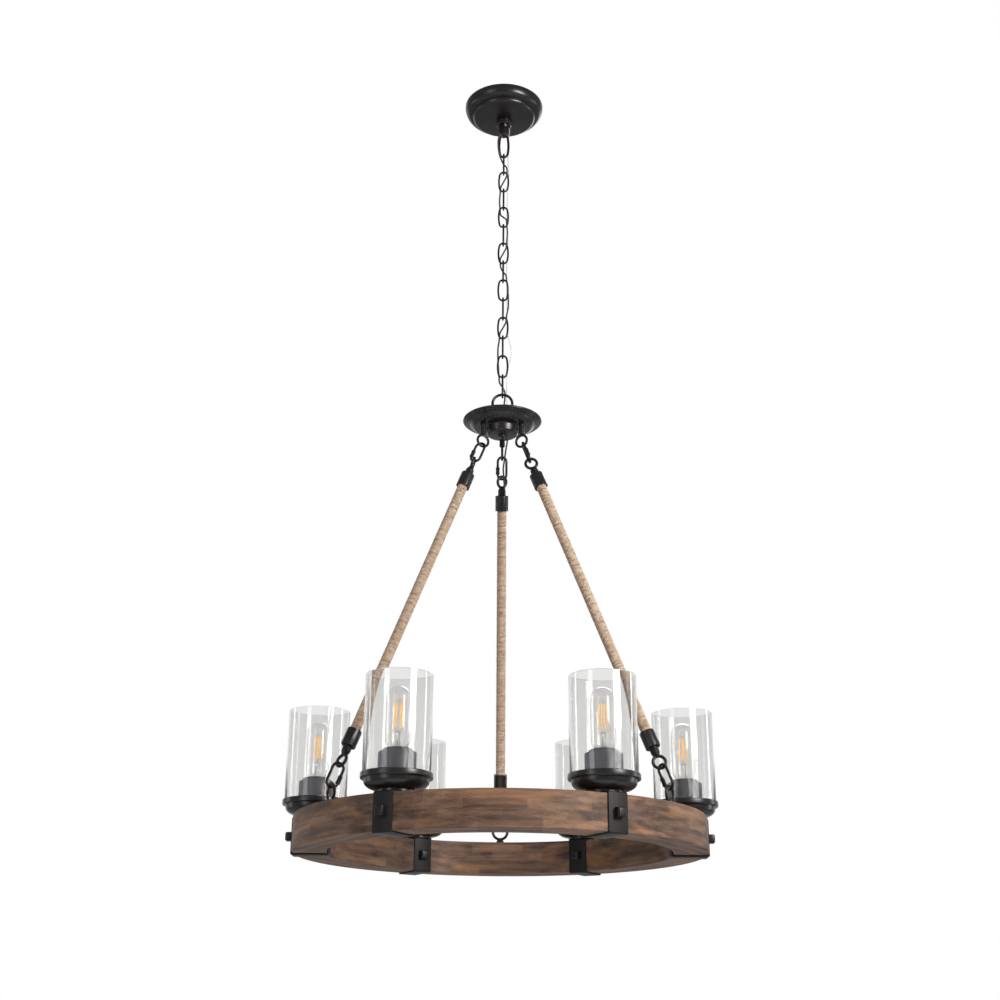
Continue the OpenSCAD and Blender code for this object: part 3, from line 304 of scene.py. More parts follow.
def juteYarn():
    values = {"Roughness": 0.92, "Specular IOR Level": 0.2, "Sheen Weight": 0.25, "Sheen Roughness": 0.5}
    material, tree, shader = newMaterial("juteYarn", values)
    along = addNode(tree, "ShaderNodeAttribute", {"attribute_name": "alongTwine"}).outputs["Fac"]
    split = splitAttribute(tree, "roundTwine")[1]
    angle = mathNode(tree, "ARCTAN2", split[1], split[0])
    strand = mathNode(tree, "MULTIPLY_ADD", angle, 2.0, mathNode(tree, "MULTIPLY", along, 2 * math.pi / 0.0052))
    plies = mathNode(tree, "MULTIPLY_ADD", mathNode(tree, "SINE", strand), 0.5, 0.5)
    place = objectPlace(tree)
    fibre = noiseNode(tree, place, 0.0006, 3, 0.7)
    blotch = noiseNode(tree, place, 0.011, 3)
    yarn = noiseNode(tree, place, 0.0028, 2)
    colour = rampNode(tree, blotch, [(0.3, (0.40, 0.275, 0.185)), (0.7, (0.56, 0.415, 0.30))])
    colour = mixColours(tree, mathNode(tree, "MULTIPLY", fibre, 0.6), colour, (0.64, 0.50, 0.38))
    run = joinedVector(tree, along)
    lengths = noiseNode(tree, run, 0.011, 2)
    turns = noiseNode(tree, run, 0.07, 2)  # each turn of the twine takes its own tone
    lengths = mathNode(tree, "MULTIPLY_ADD", mathNode(tree, "SUBTRACT", turns, 0.5), 0.9, lengths)
    colour = mixColours(tree, ranged(tree, lengths, 0.52, 0.70, 0.85), colour, (0.72, 0.60, 0.48))
    colour = mixColours(tree, ranged(tree, lengths, 0.49, 0.32, 0.85), colour, (0.27, 0.155, 0.095))
    colour = mixColours(tree, ranged(tree, yarn, 0.62, 0.75, 0.45), colour, (0.25, 0.145, 0.08))
    # painted shade: the grooves between the two plies of the twine are darkened, the ply ridges keep the yarn colour
    colour = mixColours(tree, mathNode(tree, "MULTIPLY_ADD", plies, -0.4, 0.4), colour, (0.30, 0.19, 0.11))
    relief = mathNode(tree, "MULTIPLY_ADD", fibre, 0.6, plies)
    dress(tree, shader, colour, None, bumpNode(tree, relief, 0.0004, 0.8))
    return material


def clearGlass(name, tint):
    values = {"Base Color": (*tint, 1), "Roughness": 0.0, "Transmission Weight": 1.0, "IOR": 1.46}
    material, tree, shader = newMaterial(name, values)
    ripple = noiseNode(tree, stretched(tree, objectPlace(tree), (1, 1, 0.25)), 0.05, 1)
    dress(tree, shader, normal=bumpNode(tree, ripple, 0.0004, 0.25))
    return material


def glowingFilament():
    material, tree, shader = newMaterial("filamentAmber", {"Roughness": 0.5, "Emission Strength": 0.75})
    place = objectPlace(tree)
    chips = noiseNode(tree, stretched(tree, place, (1, 1, 3)), 0.002, 1)
    colour = rampNode(tree, chips, [(0.35, (0.90, 0.42, 0.08)), (0.65, (1.0, 0.66, 0.26))])
    dress(tree, shader, colour)
    setSocket(tree, shader.inputs["Emission Color"], colour)
    return material


def brushedMetal(name, tone, roughness):
    material, tree, shader = newMaterial(name, {"Metallic": 1.0, "Roughness": roughness})
    place = objectPlace(tree)
    hairs = noiseNode(tree, stretched(tree, place, (1, 1, 14)), 0.0025, 3)
    colour = mixColours(tree, hairs, tone, tuple(0.78 * c for c in tone))
    rough = mathNode(tree, "MULTIPLY_ADD", hairs, 0.2, roughness - 0.1)
    dress(tree, shader, colour, rough, bumpNode(tree, hairs, 0.00004, 0.5))
    return material


def socketShell(name, dark, pale):
    values = {"Coat Weight": 0.12, "Coat Roughness": 0.34}
    material, tree, shader = newMaterial(name, values)
    place = objectPlace(tree)
    streak = noiseNode(tree, stretched(tree, place, (1, 1, 0.15)), 0.004, 3)
    colour = mixColours(tree, streak, dark, pale)
    rough = mathNode(tree, "MULTIPLY_ADD", streak, 0.2, 0.27)
    dress(tree, shader, colour, rough, bumpNode(tree, noiseNode(tree, place, 0.001, 2), 0.0001, 0.4))
    return material


def braidedLead():
    material, tree, shader = newMaterial("braidedLead", {"Roughness": 0.75, "Sheen Weight": 0.2})
    along = addNode(tree, "ShaderNodeAttribute", {"attribute_name": "alongPath"}).outputs["Fac"]
    split = splitAttribute(tree, "roundPath")[1]
    angle = mathNode(tree, "ARCTAN2", split[1], split[0])
    turn = mathNode(tree, "MULTIPLY", along, 2 * math.pi / 0.004)
    oneWay = mathNode(tree, "SINE", mathNode(tree, "MULTIPLY_ADD", angle, 6.0, turn))
    otherWay = mathNode(tree, "SINE", mathNode(tree, "MULTIPLY_ADD", angle, -6.0, turn))
    weave = mathNode(tree, "MULTIPLY", oneWay, otherWay)
    # painted shade and light: the colour follows the weave relief, darker in its dips and lighter on the raised
    # crossings
    colour = rampNode(tree, mathNode(tree, "MULTIPLY_ADD", weave, 0.5, 0.5), [
        (0.2, (0.020, 0.012, 0.011)), (0.8, (0.058, 0.034, 0.031))])
    dress(tree, shader, colour, None, bumpNode(tree, weave, 0.0002, 0.8))
    return material


def paleInsulation():
    values = {"Roughness": 0.35, "Transmission Weight": 0.25, "Specular IOR Level": 0.5}
    material, tree, shader = newMaterial("paleInsulation", values)
    cloud = noiseNode(tree, objectPlace(tree), 0.006, 2)
    colour = mixColours(tree, cloud, (0.80, 0.66, 0.60), (0.86, 0.78, 0.72))
    dress(tree, shader, colour, None, bumpNode(tree, cloud, 0.0001, 0.3))
    return material


def palePaint():
    material, tree, shader = newMaterial("paleFloor", {"Roughness": 0.7})
    cloud = noiseNode(tree, objectPlace(tree), 0.6, 2)
    dress(tree, shader, mixColours(tree, cloud, (0.80, 0.80, 0.80), (0.83, 0.83, 0.83)))
    seen = lightPath(tree, "Is Camera Ray", "Is Transmission Ray")
    glow = mathNode(tree, "MULTIPLY", seen, 0.68)  # white for the eye, with the shadow kept
    setSocket(tree, shader.inputs["Emission Color"], (1, 1, 1, 1))
    setSocket(tree, shader.inputs["Emission Strength"], glow)
    return material


def whiteBackdrop():
    material, tree, shader = newMaterial("whiteBackdrop", {"Roughness": 0.9, "Base Color": (0.8, 0.8, 0.8, 1)})
    seen = lightPath(tree, "Is Camera Ray", "Is Glossy Ray", "Is Transmission Ray")
    white = addNode(tree, "ShaderNodeEmission", None, {0: (1, 1, 1, 1), 1: 1.0}).outputs[0]
    mixed = addNode(tree, "ShaderNodeMixShader", None, {0: seen, 1: shader.outputs[0], 2: white}).outputs[0]
    setSocket(tree, tree.nodes["Material Output"].inputs[0], mixed)
    return material


finishes = {
    "blackSheet": blackSteel("blackSheet", 0.0007, 0.29, 0.5),
    "blackIron": blackSteel("blackIron", 0.0005, 0.32, 0.38),
    "blackStrap": blackSteel("blackStrap", 0.0012, 0.5, 0.26, (0.0085, 0.0080, 0.0078)),
    "sleeve": socketShell("sleeveLacquer", (0.024, 0.024, 0.033), (0.046, 0.046, 0.062)),
    "wood": stainedWood(),
    "jute": juteYarn(),
    "shadeGlass": clearGlass("shadeGlass", (0.815, 0.813, 0.808)),
    "bulbGlass": clearGlass("bulbGlass", (0.955, 0.952, 0.945)),
    "filament": glowingFilament(),
    "zinc": brushedMetal("zincPlate", (0.62, 0.62, 0.60), 0.38),
    "brass": brushedMetal("nickelBase", (0.66, 0.60, 0.50), 0.30),
    "socket": socketShell("socketPhenolic", (0.011, 0.011, 0.014), (0.019, 0.019, 0.024)),
    "lead": braidedLead(),
    "earth": paleInsulation(),
    "floor": palePaint(),
    "backdrop": whiteBackdrop(),
}
print("finishes ready:", len(finishes))

# mesh helpers


def giveFinish(mesh, finish):
    mesh.materials.clear()
    mesh.materials.append(finishes[finish])


def placeObject(name, mesh, finish):
    made = bpy.data.objects.new(name, mesh)
    bpy.context.collection.objects.link(made)
    giveFinish(mesh, finish)
    return made


def meshFrom(made, name):
    mesh = bpy.data.meshes.new(name)
    made.to_mesh(mesh)
    made.free()
    return mesh


def placed(mesh, matrix):
    copy = mesh.copy()
    copy.transform(matrix)
    return copy


def fillet(points, radius, steps=5):
    rounded = []
    count = len(points)
    for i, point in enumerate(points):
        corner = Vector(point)
        before = Vector(points[i - 1]) - corner
        after = Vector(points[(i + 1) % count]) - corner
        wanted = radius[i] if isinstance(radius, (list, tuple)) else radius
        angle = before.angle(after)
        reach = min(wanted / math.tan(angle / 2), 0.49 * before.length, 0.49 * after.length)
        if angle > 3.0 or wanted <= 0:
            rounded.append(tuple(corner))
            continue
        start = corner + before.normalized() * reach
        end = corner + after.normalized() * reach
        for k in range(steps + 1):
            t = k / steps
            rounded.append(tuple(start.lerp(corner, t).lerp(corner.lerp(end, t), t)))
    return rounded


def finishMesh(mesh, sharpAngle=38):
    made = bmesh.new()
    made.from_mesh(mesh)
    for edge in made.edges:
        edge.smooth = len(edge.link_faces) < 2 or edge.calc_face_angle(0) < math.radians(sharpAngle)
    for face in made.faces:
        face.smooth = True
    made.to_mesh(mesh)
    made.free()


def latheMesh(name, outline, steps=96, matrix=None):
    made = bmesh.new()
    rings = []
    for r, z in outline:
        if r < 1e-6:
            rings.append([made.verts.new((0, 0, z))])
            continue
        turns = [2 * math.pi * k / steps for k in range(steps)]
        rings.append([made.verts.new((r * math.cos(t), r * math.sin(t), z)) for t in turns])
    for i, ring in enumerate(rings):
        other = rings[(i + 1) % len(rings)]
        if len(ring) == 1 and len(other) == 1:
            continue
        for k in range(steps):
            a, b = ring[k % len(ring)], ring[(k + 1) % len(ring)]
            c, d = other[(k + 1) % len(other)], other[k % len(other)]
            corners = [v for n, v in enumerate((a, b, c, d)) if v not in (a, b, c, d)[:n]]
            if len(corners) > 2:
                made.faces.new(corners)
    bmesh.ops.recalc_face_normals(made, faces=made.faces)
    if matrix is not None:
        bmesh.ops.transform(made, matrix=matrix, verts=made.verts)
    mesh = meshFrom(made, name)
    finishMesh(mesh)
    return mesh


def joinMeshes(name, meshes):
    made = bmesh.new()
    for mesh in meshes:
        made.from_mesh(mesh)
    return meshFrom(made, name)


def bevelled(mesh, width, segments, angle):
    host = bpy.data.objects.new("bevelHost", mesh)
    bpy.context.collection.objects.link(host)
    bevel = host.modifiers.new("edges", "BEVEL")
    bevel.width = width
    bevel.segments = segments
    bevel.limit_method = "ANGLE"
    bevel.angle_limit = math.radians(angle)
    made = bakedMesh(host)
    finishMesh(made)
    return made


def bakedMesh(host):
    bpy.context.view_layer.update()
    graph = bpy.context.evaluated_depsgraph_get()
    made = bpy.data.meshes.new_from_object(host.evaluated_get(graph))
    bpy.data.objects.remove(host)
    return made


# Geometry Nodes trees


def newTree(name, inputs):
    tree = bpy.data.node_groups.new(name, "GeometryNodeTree")
    tree.interface.new_socket("Geometry", in_out="INPUT", socket_type="NodeSocketGeometry")
    tree.interface.new_socket("Geometry", in_out="OUTPUT", socket_type="NodeSocketGeometry")
    for label, kind, value in inputs:
        socket = tree.interface.new_socket(label, in_out="INPUT", socket_type="NodeSocket" + kind)
        if value is not None:
            socket.default_value = value
    given = tree.nodes.new("NodeGroupInput").outputs
    return tree, given


def endTree(tree, geometry, material):
    real = addNode(tree, "GeometryNodeRealizeInstances", None, {0: geometry}).outputs[0]
    painted = addNode(tree, "GeometryNodeSetMaterial", None, {"Geometry": real, "Material": material}).outputs[0]
    addNode(tree, "NodeGroupOutput", None, {0: painted})


def storeValue(tree, geometry, kind, label, value):
    made = addNode(tree, "GeometryNodeStoreNamedAttribute", {"data_type": kind, "domain": "POINT"},
                   {"Geometry": geometry, "Name": label})
    socket = [s for s in made.inputs if s.name == "Value" and s.enabled][0]
    setSocket(tree, socket, value)
    return made.outputs[0]


def sweptTube(tree, path, radius, sides, alongName, roundName):
    length = addNode(tree, "GeometryNodeSplineParameter").outputs["Length"]
    path = storeValue(tree, path, "FLOAT", alongName, length)
    ring = addNode(tree, "GeometryNodeCurvePrimitiveCircle", {"mode": "RADIUS"},
                   {"Resolution": sides, "Radius": radius}).outputs[0]
    place = addNode(tree, "GeometryNodeInputPosition").outputs[0]
    ring = storeValue(tree, ring, "FLOAT_VECTOR", roundName, vectorMath(tree, "NORMALIZE", place))
    tube = addNode(tree, "GeometryNodeCurveToMesh", None,
                   {"Curve": path, "Profile Curve": ring, "Fill Caps": True}).outputs[0]
    return addNode(tree, "GeometryNodeSetShadeSmooth", None, {"Geometry": tube}).outputs[0]


def wireTree():
    tree, given = newTree("wireAlongPath", [
        ("Wire Radius", "Float", 0.002),
        ("Sides", "Int", 12),
        ("Finish", "Material", None),
    ])
    path = addNode(tree, "GeometryNodeMeshToCurve", None, {0: given["Geometry"]}).outputs[0]
    size = addNode(tree, "GeometryNodeInputNamedAttribute", {"data_type": "FLOAT"}, {"Name": "thickness"})
    path = addNode(tree, "GeometryNodeSetCurveRadius", None, {"Curve": path, "Radius": size.outputs[0]}).outputs[0]
    tube = sweptTube(tree, path, given["Wire Radius"], given["Sides"], "alongPath", "roundPath")
    endTree(tree, tube, given["Finish"])
    return tree


def windingTree():
    tree, given = newTree("twineWinding", [
        ("Length", "Float", 0.445),
        ("Turns", "Float", 170.0),
        ("Winding Radius", "Float", 0.0068),
        ("Twine Radius", "Float", 0.0013),
        ("Points per Turn", "Int", 28),
        ("Sides", "Int", 8),
        ("Unevenness", "Float", 0.0002),
        ("Seed", "Float", 0.0),
        ("Finish", "Material", None),
    ])
    total = mathNode(tree, "MULTIPLY", given["Turns"], given["Points per Turn"])
    line = addNode(tree, "GeometryNodeMeshLine", {"mode": "OFFSET"}, {"Count": total}).outputs[0]
    index = addNode(tree, "GeometryNodeInputIndex").outputs[0]
    turn = mathNode(tree, "DIVIDE", index, given["Points per Turn"])
    angle = mathNode(tree, "MULTIPLY", turn, 2 * math.pi)
    seeded = addNode(tree, "ShaderNodeCombineXYZ", None, {
        0: mathNode(tree, "MULTIPLY", mathNode(tree, "SINE", angle), 0.7),
        1: mathNode(tree, "MULTIPLY", turn, 0.37), 2: given["Seed"]}).outputs[0]
    wobble = addNode(tree, "ShaderNodeTexNoise", None, {"Vector": seeded, "Scale": 1.6, "Detail": 2.0}).outputs[0]
    wobble = mathNode(tree, "MULTIPLY", mathNode(tree, "SUBTRACT", wobble, 0.5), given["Unevenness"])
    radius = mathNode(tree, "ADD", given["Winding Radius"], wobble)
    slip = mathNode(tree, "MULTIPLY", wobble, 1.3)
    height = mathNode(tree, "MULTIPLY", mathNode(tree, "DIVIDE", turn, given["Turns"]), given["Length"])
    place = addNode(tree, "ShaderNodeCombineXYZ", None, {
        0: mathNode(tree, "MULTIPLY", mathNode(tree, "COSINE", angle), radius),
        1: mathNode(tree, "MULTIPLY", mathNode(tree, "SINE", angle), radius),
        2: mathNode(tree, "ADD", height, slip)}).outputs[0]
    line = addNode(tree, "GeometryNodeSetPosition", None, {"Geometry": line, "Position": place}).outputs[0]
    path = addNode(tree, "GeometryNodeMeshToCurve", None, {0: line}).outputs[0]
    tube = sweptTube(tree, path, given["Twine Radius"], given["Sides"], "alongTwine", "roundTwine")
    endTree(tree, tube, given["Finish"])
    return tree


def fuzzTree():
    tree, given = newTree("strayFibres", [
        ("Count per Square Metre", "Float", 20000.0),
        ("Fibre Length", "Float", 0.004),
        ("Fibre Radius", "Float", 0.00005),
        ("Seed", "Int", 4),
        ("Finish", "Material", None),
    ])
    spread = addNode(tree, "GeometryNodeDistributePointsOnFaces", None, {
        "Mesh": given["Geometry"], "Density": given["Count per Square Metre"], "Seed": given["Seed"]})
    strand = addNode(tree, "GeometryNodeCurvePrimitiveBezierSegment", None, {
        "Resolution": 4, "Start": (0, 0, -0.0003), "Start Handle": (0, 0, 0.0012),
        "End Handle": (0.0012, 0.0004, 0.0016), "End": (0.0036, 0.0009, 0.0013)}).outputs[0]
    ring = addNode(tree, "GeometryNodeCurvePrimitiveCircle", {"mode": "RADIUS"},
                   {"Resolution": 3, "Radius": given["Fibre Radius"]}).outputs[0]
    fibre = addNode(tree, "GeometryNodeCurveToMesh", None, {"Curve": strand, "Profile Curve": ring, "Fill Caps": True}).outputs[0]
    spin = addNode(tree, "FunctionNodeRandomValue", {"data_type": "FLOAT"}, {"Seed": given["Seed"]})
    spin.inputs[3].default_value = 2 * math.pi
    size = addNode(tree, "FunctionNodeRandomValue", {"data_type": "FLOAT"}, {"Seed": given["Seed"]})
    size.inputs[2].default_value = 0.4
    size.inputs[3].default_value = 1.1
    own = addNode(tree, "FunctionNodeAxisAngleToRotation", None, {"Axis": (0, 0, 1), "Angle": spin.outputs[1]}).outputs[0]
    turn = addNode(tree, "FunctionNodeRotateRotation", {"rotation_space": "LOCAL"},
                   {0: spread.outputs["Rotation"], 1: own}).outputs[0]
    many = addNode(tree, "GeometryNodeInstanceOnPoints", None, {
        "Points": spread.outputs["Points"], "Instance": fibre, "Rotation": turn, "Scale": size.outputs[1]}).outputs[0]
    endTree(tree, many, given["Finish"])
    return tree


def aroundTree():
    tree, given = newTree("copiesAroundWheel", [
        ("Count", "Int", 6),
        ("First Azimuth", "Float", 30.0),
        ("Finish", "Material", None),
    ])
    points = addNode(tree, "GeometryNodePoints", None, {"Count": given["Count"]}).outputs[0]
    index = addNode(tree, "GeometryNodeInputIndex").outputs[0]
    step = mathNode(tree, "DIVIDE", 360.0, given["Count"])
    degrees = mathNode(tree, "MULTIPLY_ADD", index, step, given["First Azimuth"])
    angle = mathNode(tree, "MULTIPLY", degrees, math.pi / 180)
    turn = addNode(tree, "ShaderNodeCombineXYZ", None, {2: angle}).outputs[0]
    many = addNode(tree, "GeometryNodeInstanceOnPoints", None, {
        "Points": points, "Instance": given["Geometry"], "Rotation": turn}).outputs[0]
    endTree(tree, many, given["Finish"])
    return tree


trees = {"wire": wireTree(), "winding": windingTree(), "fuzz": fuzzTree(), "around": aroundTree()}
print("node trees ready:", len(trees))


def grown(name, treeName, mesh, values):
    host = bpy.data.objects.new(name, mesh)
    bpy.context.collection.objects.link(host)
    modifier = host.modifiers.new(treeName, "NODES")
    modifier.node_group = trees[treeName]
    for item in trees[treeName].interface.items_tree:
        if item.in_out == "INPUT" and item.name in values:
            modifier[item.identifier] = values[item.name]
    return bakedMesh(host)


def pathMesh(points, closed=False, thickness=None):
    mesh = bpy.data.meshes.new("path")
    edges = [(i, i + 1) for i in range(len(points) - 1)]
    if closed:
        edges.append((len(points) - 1, 0))
    mesh.from_pydata([tuple(p) for p in points], edges, [])
    sizes = mesh.attributes.new("thickness", "FLOAT", "POINT")
    sizes.data.foreach_set("value", thickness or [1.0] * len(points))
    return mesh


def wireMesh(name, points, radius, finish, closed=False, sides=14, thickness=None, matrix=None):
    values = {"Wire Radius": radius, "Sides": sides, "Finish": finishes[finish]}
    mesh = grown(name, "wire", pathMesh(points, closed, thickness), values)
    if matrix is not None:
        mesh.transform(matrix)
    return mesh


def carried(name, mesh, finish, body, replaced=()):
    piece = placeObject(name, mesh, finish)
    if replaced:
        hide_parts(*replaced)
    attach(piece, body)
    return piece


def arcPoints(centre, radius, start, sweep, steps):
    found = []
    for k in range(steps + 1):
        t = math.radians(start + sweep * k / steps)
        found.append((centre[0] + radius * math.cos(t), centre[1] + radius * math.sin(t)))
    return found


def upright(points):
    return [Vector((x, 0, z)) for x, z in points]


print("helpers ready")

# the ceiling canopy with its collar, neck and loop

canopySet = {
    "radius": 70 * mm, "wall": 1.2 * mm, "depth": 27 * mm,
    "stepRadius": 59.5 * mm, "stepDepth": 17 * mm,
    "beadRadius": 56.5 * mm, "beadWidth": 6 * mm, "beadDepth": 7.5 * mm,
    "collarRadius": 13.5 * mm, "holeRadius": 5.2 * mm,
}


def quarter(r0, r1, z, h, steps):
    found = []
    for i in range(steps + 1):
        t = math.pi / 2 * i / steps
        found.append((r1 + (r0 - r1) * math.cos(t), z - h * math.sin(t)))
    return found


def makeCanopy():
    s = canopySet
    outer = [(s["radius"] - 0.3 * mm, -0.02 * mm)]
    outer += quarter(s["radius"], s["stepRadius"], -0.4 * mm, s["stepDepth"] - 0.4 * mm, 16)
    outer += quarter(s["beadRadius"], s["beadRadius"] - s["beadWidth"], -s["stepDepth"] - 0.6 * mm, s["beadDepth"], 12)
    outer += [(32 * mm, -26.2 * mm), (s["collarRadius"], -s["depth"]), (s["holeRadius"], -s["depth"])]
    inner = [(max(r - s["wall"], s["holeRadius"]), min(z + s["wall"], -0.02 * mm)) for r, z in reversed(outer)]
    inner = [(r, z) for r, z in inner if r > s["holeRadius"]]
    inner.insert(0, (s["holeRadius"], -s["depth"] + s["wall"]))
    carried("canopyShell", latheMesh("canopyShell", outer + inner, 128), "blackSheet", "ceiling_parts",
            ["canopy"])


def makeCollar():
    low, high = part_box("canopy_collar")
    r = canopySet["collarRadius"]
    outline = [(5.05 * mm, low.z), (r - 1.6 * mm, low.z), (r, low.z + 1.4 * mm), (r, low.z + 3.2 * mm),
               (r - 0.5 * mm, low.z + 3.6 * mm), (r - 0.5 * mm, low.z + 4.2 * mm), (r, low.z + 4.6 * mm),
               (r, high.z - 1.2 * mm), (r - 1.2 * mm, high.z), (5.05 * mm, high.z)]
    carried("canopyCollar", latheMesh("canopyCollar", fillet(outline, 0.3 * mm, 3), 96), "blackIron",
            "ceiling_parts", ["canopy_collar"])


def ovalPath(length, width, wire, endRadius, steps=14):
    halfLength = (length - wire) / 2
    halfWidth = (width - wire) / 2
    endMiddle = halfLength - endRadius
    sideRadius = (endMiddle ** 2 + halfWidth ** 2 - endRadius ** 2) / (2 * (halfWidth - endRadius))
    sideHalf = math.degrees(math.atan2(endMiddle, sideRadius - halfWidth))
    found = []
    for sign in (1, -1):
        found += [(sign * x, sign * z) for x, z in
                  arcPoints((halfWidth - sideRadius, 0), sideRadius, -sideHalf, 2 * sideHalf, steps)[:-1]]
        found += [(sign * x, sign * z) for x, z in
                  arcPoints((0, endMiddle), endRadius, sideHalf, 180 - 2 * sideHalf, steps)[:-1]]
    return upright(found)


loopSet = {"length": 50.5 * mm, "width": 21 * mm, "wire": 4.5 * mm, "endRadius": 7 * mm,
           "neckRadius": 8 * mm, "neckLength": 23 * mm, "shoulder": 3 * mm,
           "screwAzimuth": 20, "screwDrop": 2.7 * mm}


def setScrew(radius, height, socketRadius):
    outline = [(0, height - 0.9 * mm), (socketRadius, height - 0.9 * mm), (socketRadius, height),
               (radius - 0.3 * mm, height), (radius, height - 0.3 * mm), (radius, -1 * mm), (0, -1 * mm)]
    return latheMesh("setScrew", outline, 32)


def makeCanopyLoop():
    s = loopSet
    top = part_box("canopy_loop")[1].z
    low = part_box("canopy_loop")[0].z
    neckLow = top - s["neckLength"]
    r = s["neckRadius"]
    outline = [(0, neckLow), (r - s["shoulder"], neckLow), (r, neckLow + s["shoulder"]),
               (r, top - 1 * mm), (r - 0.6 * mm, top), (0, top)]
    neck = latheMesh("neck", fillet(outline, [0, 1 * mm, 1.5 * mm, 0.3 * mm, 0.3 * mm, 0], 4), 64)
    path = ovalPath(s["length"], s["width"], s["wire"], s["endRadius"])
    loop = wireMesh("loop", path, s["wire"] / 2, "blackIron", closed=True, sides=20,
                    matrix=shifted(0, 0, low + s["length"] / 2))
    carried("canopyLoop", joinMeshes("canopyLoop", [neck, loop]), "blackIron", "ceiling_parts",
            ["canopy_loop"])
    screw = setScrew(2.2 * mm, 1.2 * mm, 1.1 * mm)
    screw.transform(turned(s["screwAzimuth"]) @
                    shifted(0, -r + 0.4 * mm, top - s["screwDrop"]) @
                    turned(90, "X"))
    carried("canopySetScrew", screw, "zinc", "ceiling_parts")


makeCanopy()
makeCollar()
makeCanopyLoop()
print("canopy made")

# the chain

chainSet = {"count": 13, "length": 43.6 * mm, "width": 20 * mm, "wire": 3.4 * mm, "endRadius": 7 * mm,
            "weldLength": 2.4 * mm, "weldSwell": 0.10}


def makeChain():
    s = chainSet
    path = ovalPath(s["length"], s["width"], s["wire"], s["endRadius"], 18)
    swell = []
    for p in path:
        near = math.exp(-(p.z / s["weldLength"]) ** 2) if p.x > 0 else 0.0
        swell.append(1 + s["weldSwell"] * near)
    for number in range(1, s["count"] + 1):
        node = "chain_link_%02d" % number
        low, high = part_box(node)
        turn = turned(90 if number % 2 else 0)
        place = shifted(0, 0, (low.z + high.z) / 2) @ turn
        link = wireMesh(node, path, s["wire"] / 2, "blackIron", closed=True, sides=16,
                        thickness=swell, matrix=place)
        carried("chainLink%02d" % number, link, "blackIron", node, [node])


makeChain()
print("chain made")

# the leads through the chain, cut where two links hook together; each length moves with its link

leadSet = {"diameter": 2.8 * mm, "earthDiameter": 1.4 * mm, "stepsBetween": 5}
leadRoute = [
    (0, 0, -2), (0, 0, -50), (-1.5, -1.5, -55.5),
    (-5, -5, -61), (-8, -8, -66), (-10, -8, -74), (-10, -8, -90), (-8, -7, -104), (-5, -5, -113),
    (0, -1, -122), (5, -5, -131), (6, -6, -142), (5, -5, -150), (0, 0, -158), (-5, 5, -166),
    (-6, 6, -178), (-7, 6, -194), (-6, 6, -212), (-5, 5, -223), (0, 0, -231), (5, -5, -239),
    (6, -6, -251), (7, -6, -267), (6, -6, -285), (5, -5, -296), (0, 0, -304), (-5, 5, -312),
    (-5, 5, -322), (-4, 3, -331), (0, 0, -341), (5, -4, -350), (6, -6, -360), (8, -7, -377),
    (9, -7, -395), (9, -7, -414), (6, -6, -431), (5, -5, -442), (0, 0, -450), (-5, 5, -458),
    (-6, 6, -470), (-8, 6, -486), (-8, 6, -505), (-7, 6, -523), (-6, 6, -540), (-5, 5, -551),
    (0, 3, -560), (4, 5, -569), (4, 7, -578), (3, 9, -588), (3, 11, -600), (4, 13, -609),
    (4, 13.5, -622),
]
earthRoute = [
    (10, 11, -20), (10, 11, -42), (9, 10, -56), (8, 9, -75), (8, 8, -118), (9, 8, -140),
    (7, 7, -190), (6, 7, -220), (8, 8, -280), (6, 7, -340), (7, 7, -400), (8, 8, -455),
    (12, 8, -475), (15, 8, -492), (12, 8, -510), (8, 8, -530), (7, 9, -570), (8, 12, -592),
    (8, 13.5, -608), (8, 13.5, -624),
]
backLeadRoute = [
    (9, 30, -633), (9, 30, -640), (8, 30, -650), (6, 31, -663), (4, 34, -678), (2, 39, -692.5),
    (3, 44.7, -707), (4, 50.4, -721), (4.5, 54.5, -730.5), (4.5, 56.3, -735), (4.5, 57.6, -738),
]


def smoothRoute(route, steps):
    points = [Vector(p) * mm for p in route]
    found = []
    for i in range(len(points) - 1):
        p0, p1 = points[max(i - 1, 0)], points[i]
        p2, p3 = points[i + 1], points[min(i + 2, len(points) - 1)]
        pull = min(1.0, (p2 - p1).length / max((p1 - p0).length, (p3 - p2).length, 1e-6))
        for k in range(steps):
            t = k / steps
            curve = 0.5 * t * (p2 - p0 + t * (2 * p0 - 5 * p1 + 4 * p2 - p3 + t * (3 * (p1 - p2) + p3 - p0)))
            straight = p1.lerp(p2, t)
            found.append(straight.lerp(p1 + curve, pull))
    return found + [points[-1]]


def cutRoute(points, heights):
    parts = [[points[0]]]
    for a, b in zip(points, points[1:]):
        while len(parts) <= len(heights) and a.z > heights[len(parts) - 1] >= b.z:
            cut = a.lerp(b, (a.z - heights[len(parts) - 1]) / (a.z - b.z))
            parts[-1].append(cut)
            parts.append([cut])
        if (b - parts[-1][-1]).length > 1e-6:
            parts[-1].append(b)
    return parts


def makeLead(name, route, radius, finish, replaced):
    links = ["chain_link_%02d" % n for n in range(1, chainSet["count"] + 1)]
    carriers = ["canopy_loop"] + links + ["hub_loop"]
    hooks = [(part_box(upper)[0].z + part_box(lower)[1].z) / 2 for upper, lower in zip(carriers, carriers[1:])]
    parts = cutRoute(smoothRoute(route, leadSet["stepsBetween"]), hooks)
    for number, (points, body) in enumerate(zip(parts, ["ceiling_parts"] + links + ["hub"])):
        mesh = wireMesh(name, points, radius, finish, sides=12)
        carried("%s%02d" % (name, number + 1), mesh, finish, body, (replaced,))


def makeBackLead():
    points = smoothRoute(backLeadRoute, leadSet["stepsBetween"])
    mesh = wireMesh("backLead", points, leadSet["diameter"] / 2, "lead", sides=12)
    piece = placeObject("backLead", mesh, "lead")
    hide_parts("back_lead")
    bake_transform(piece)


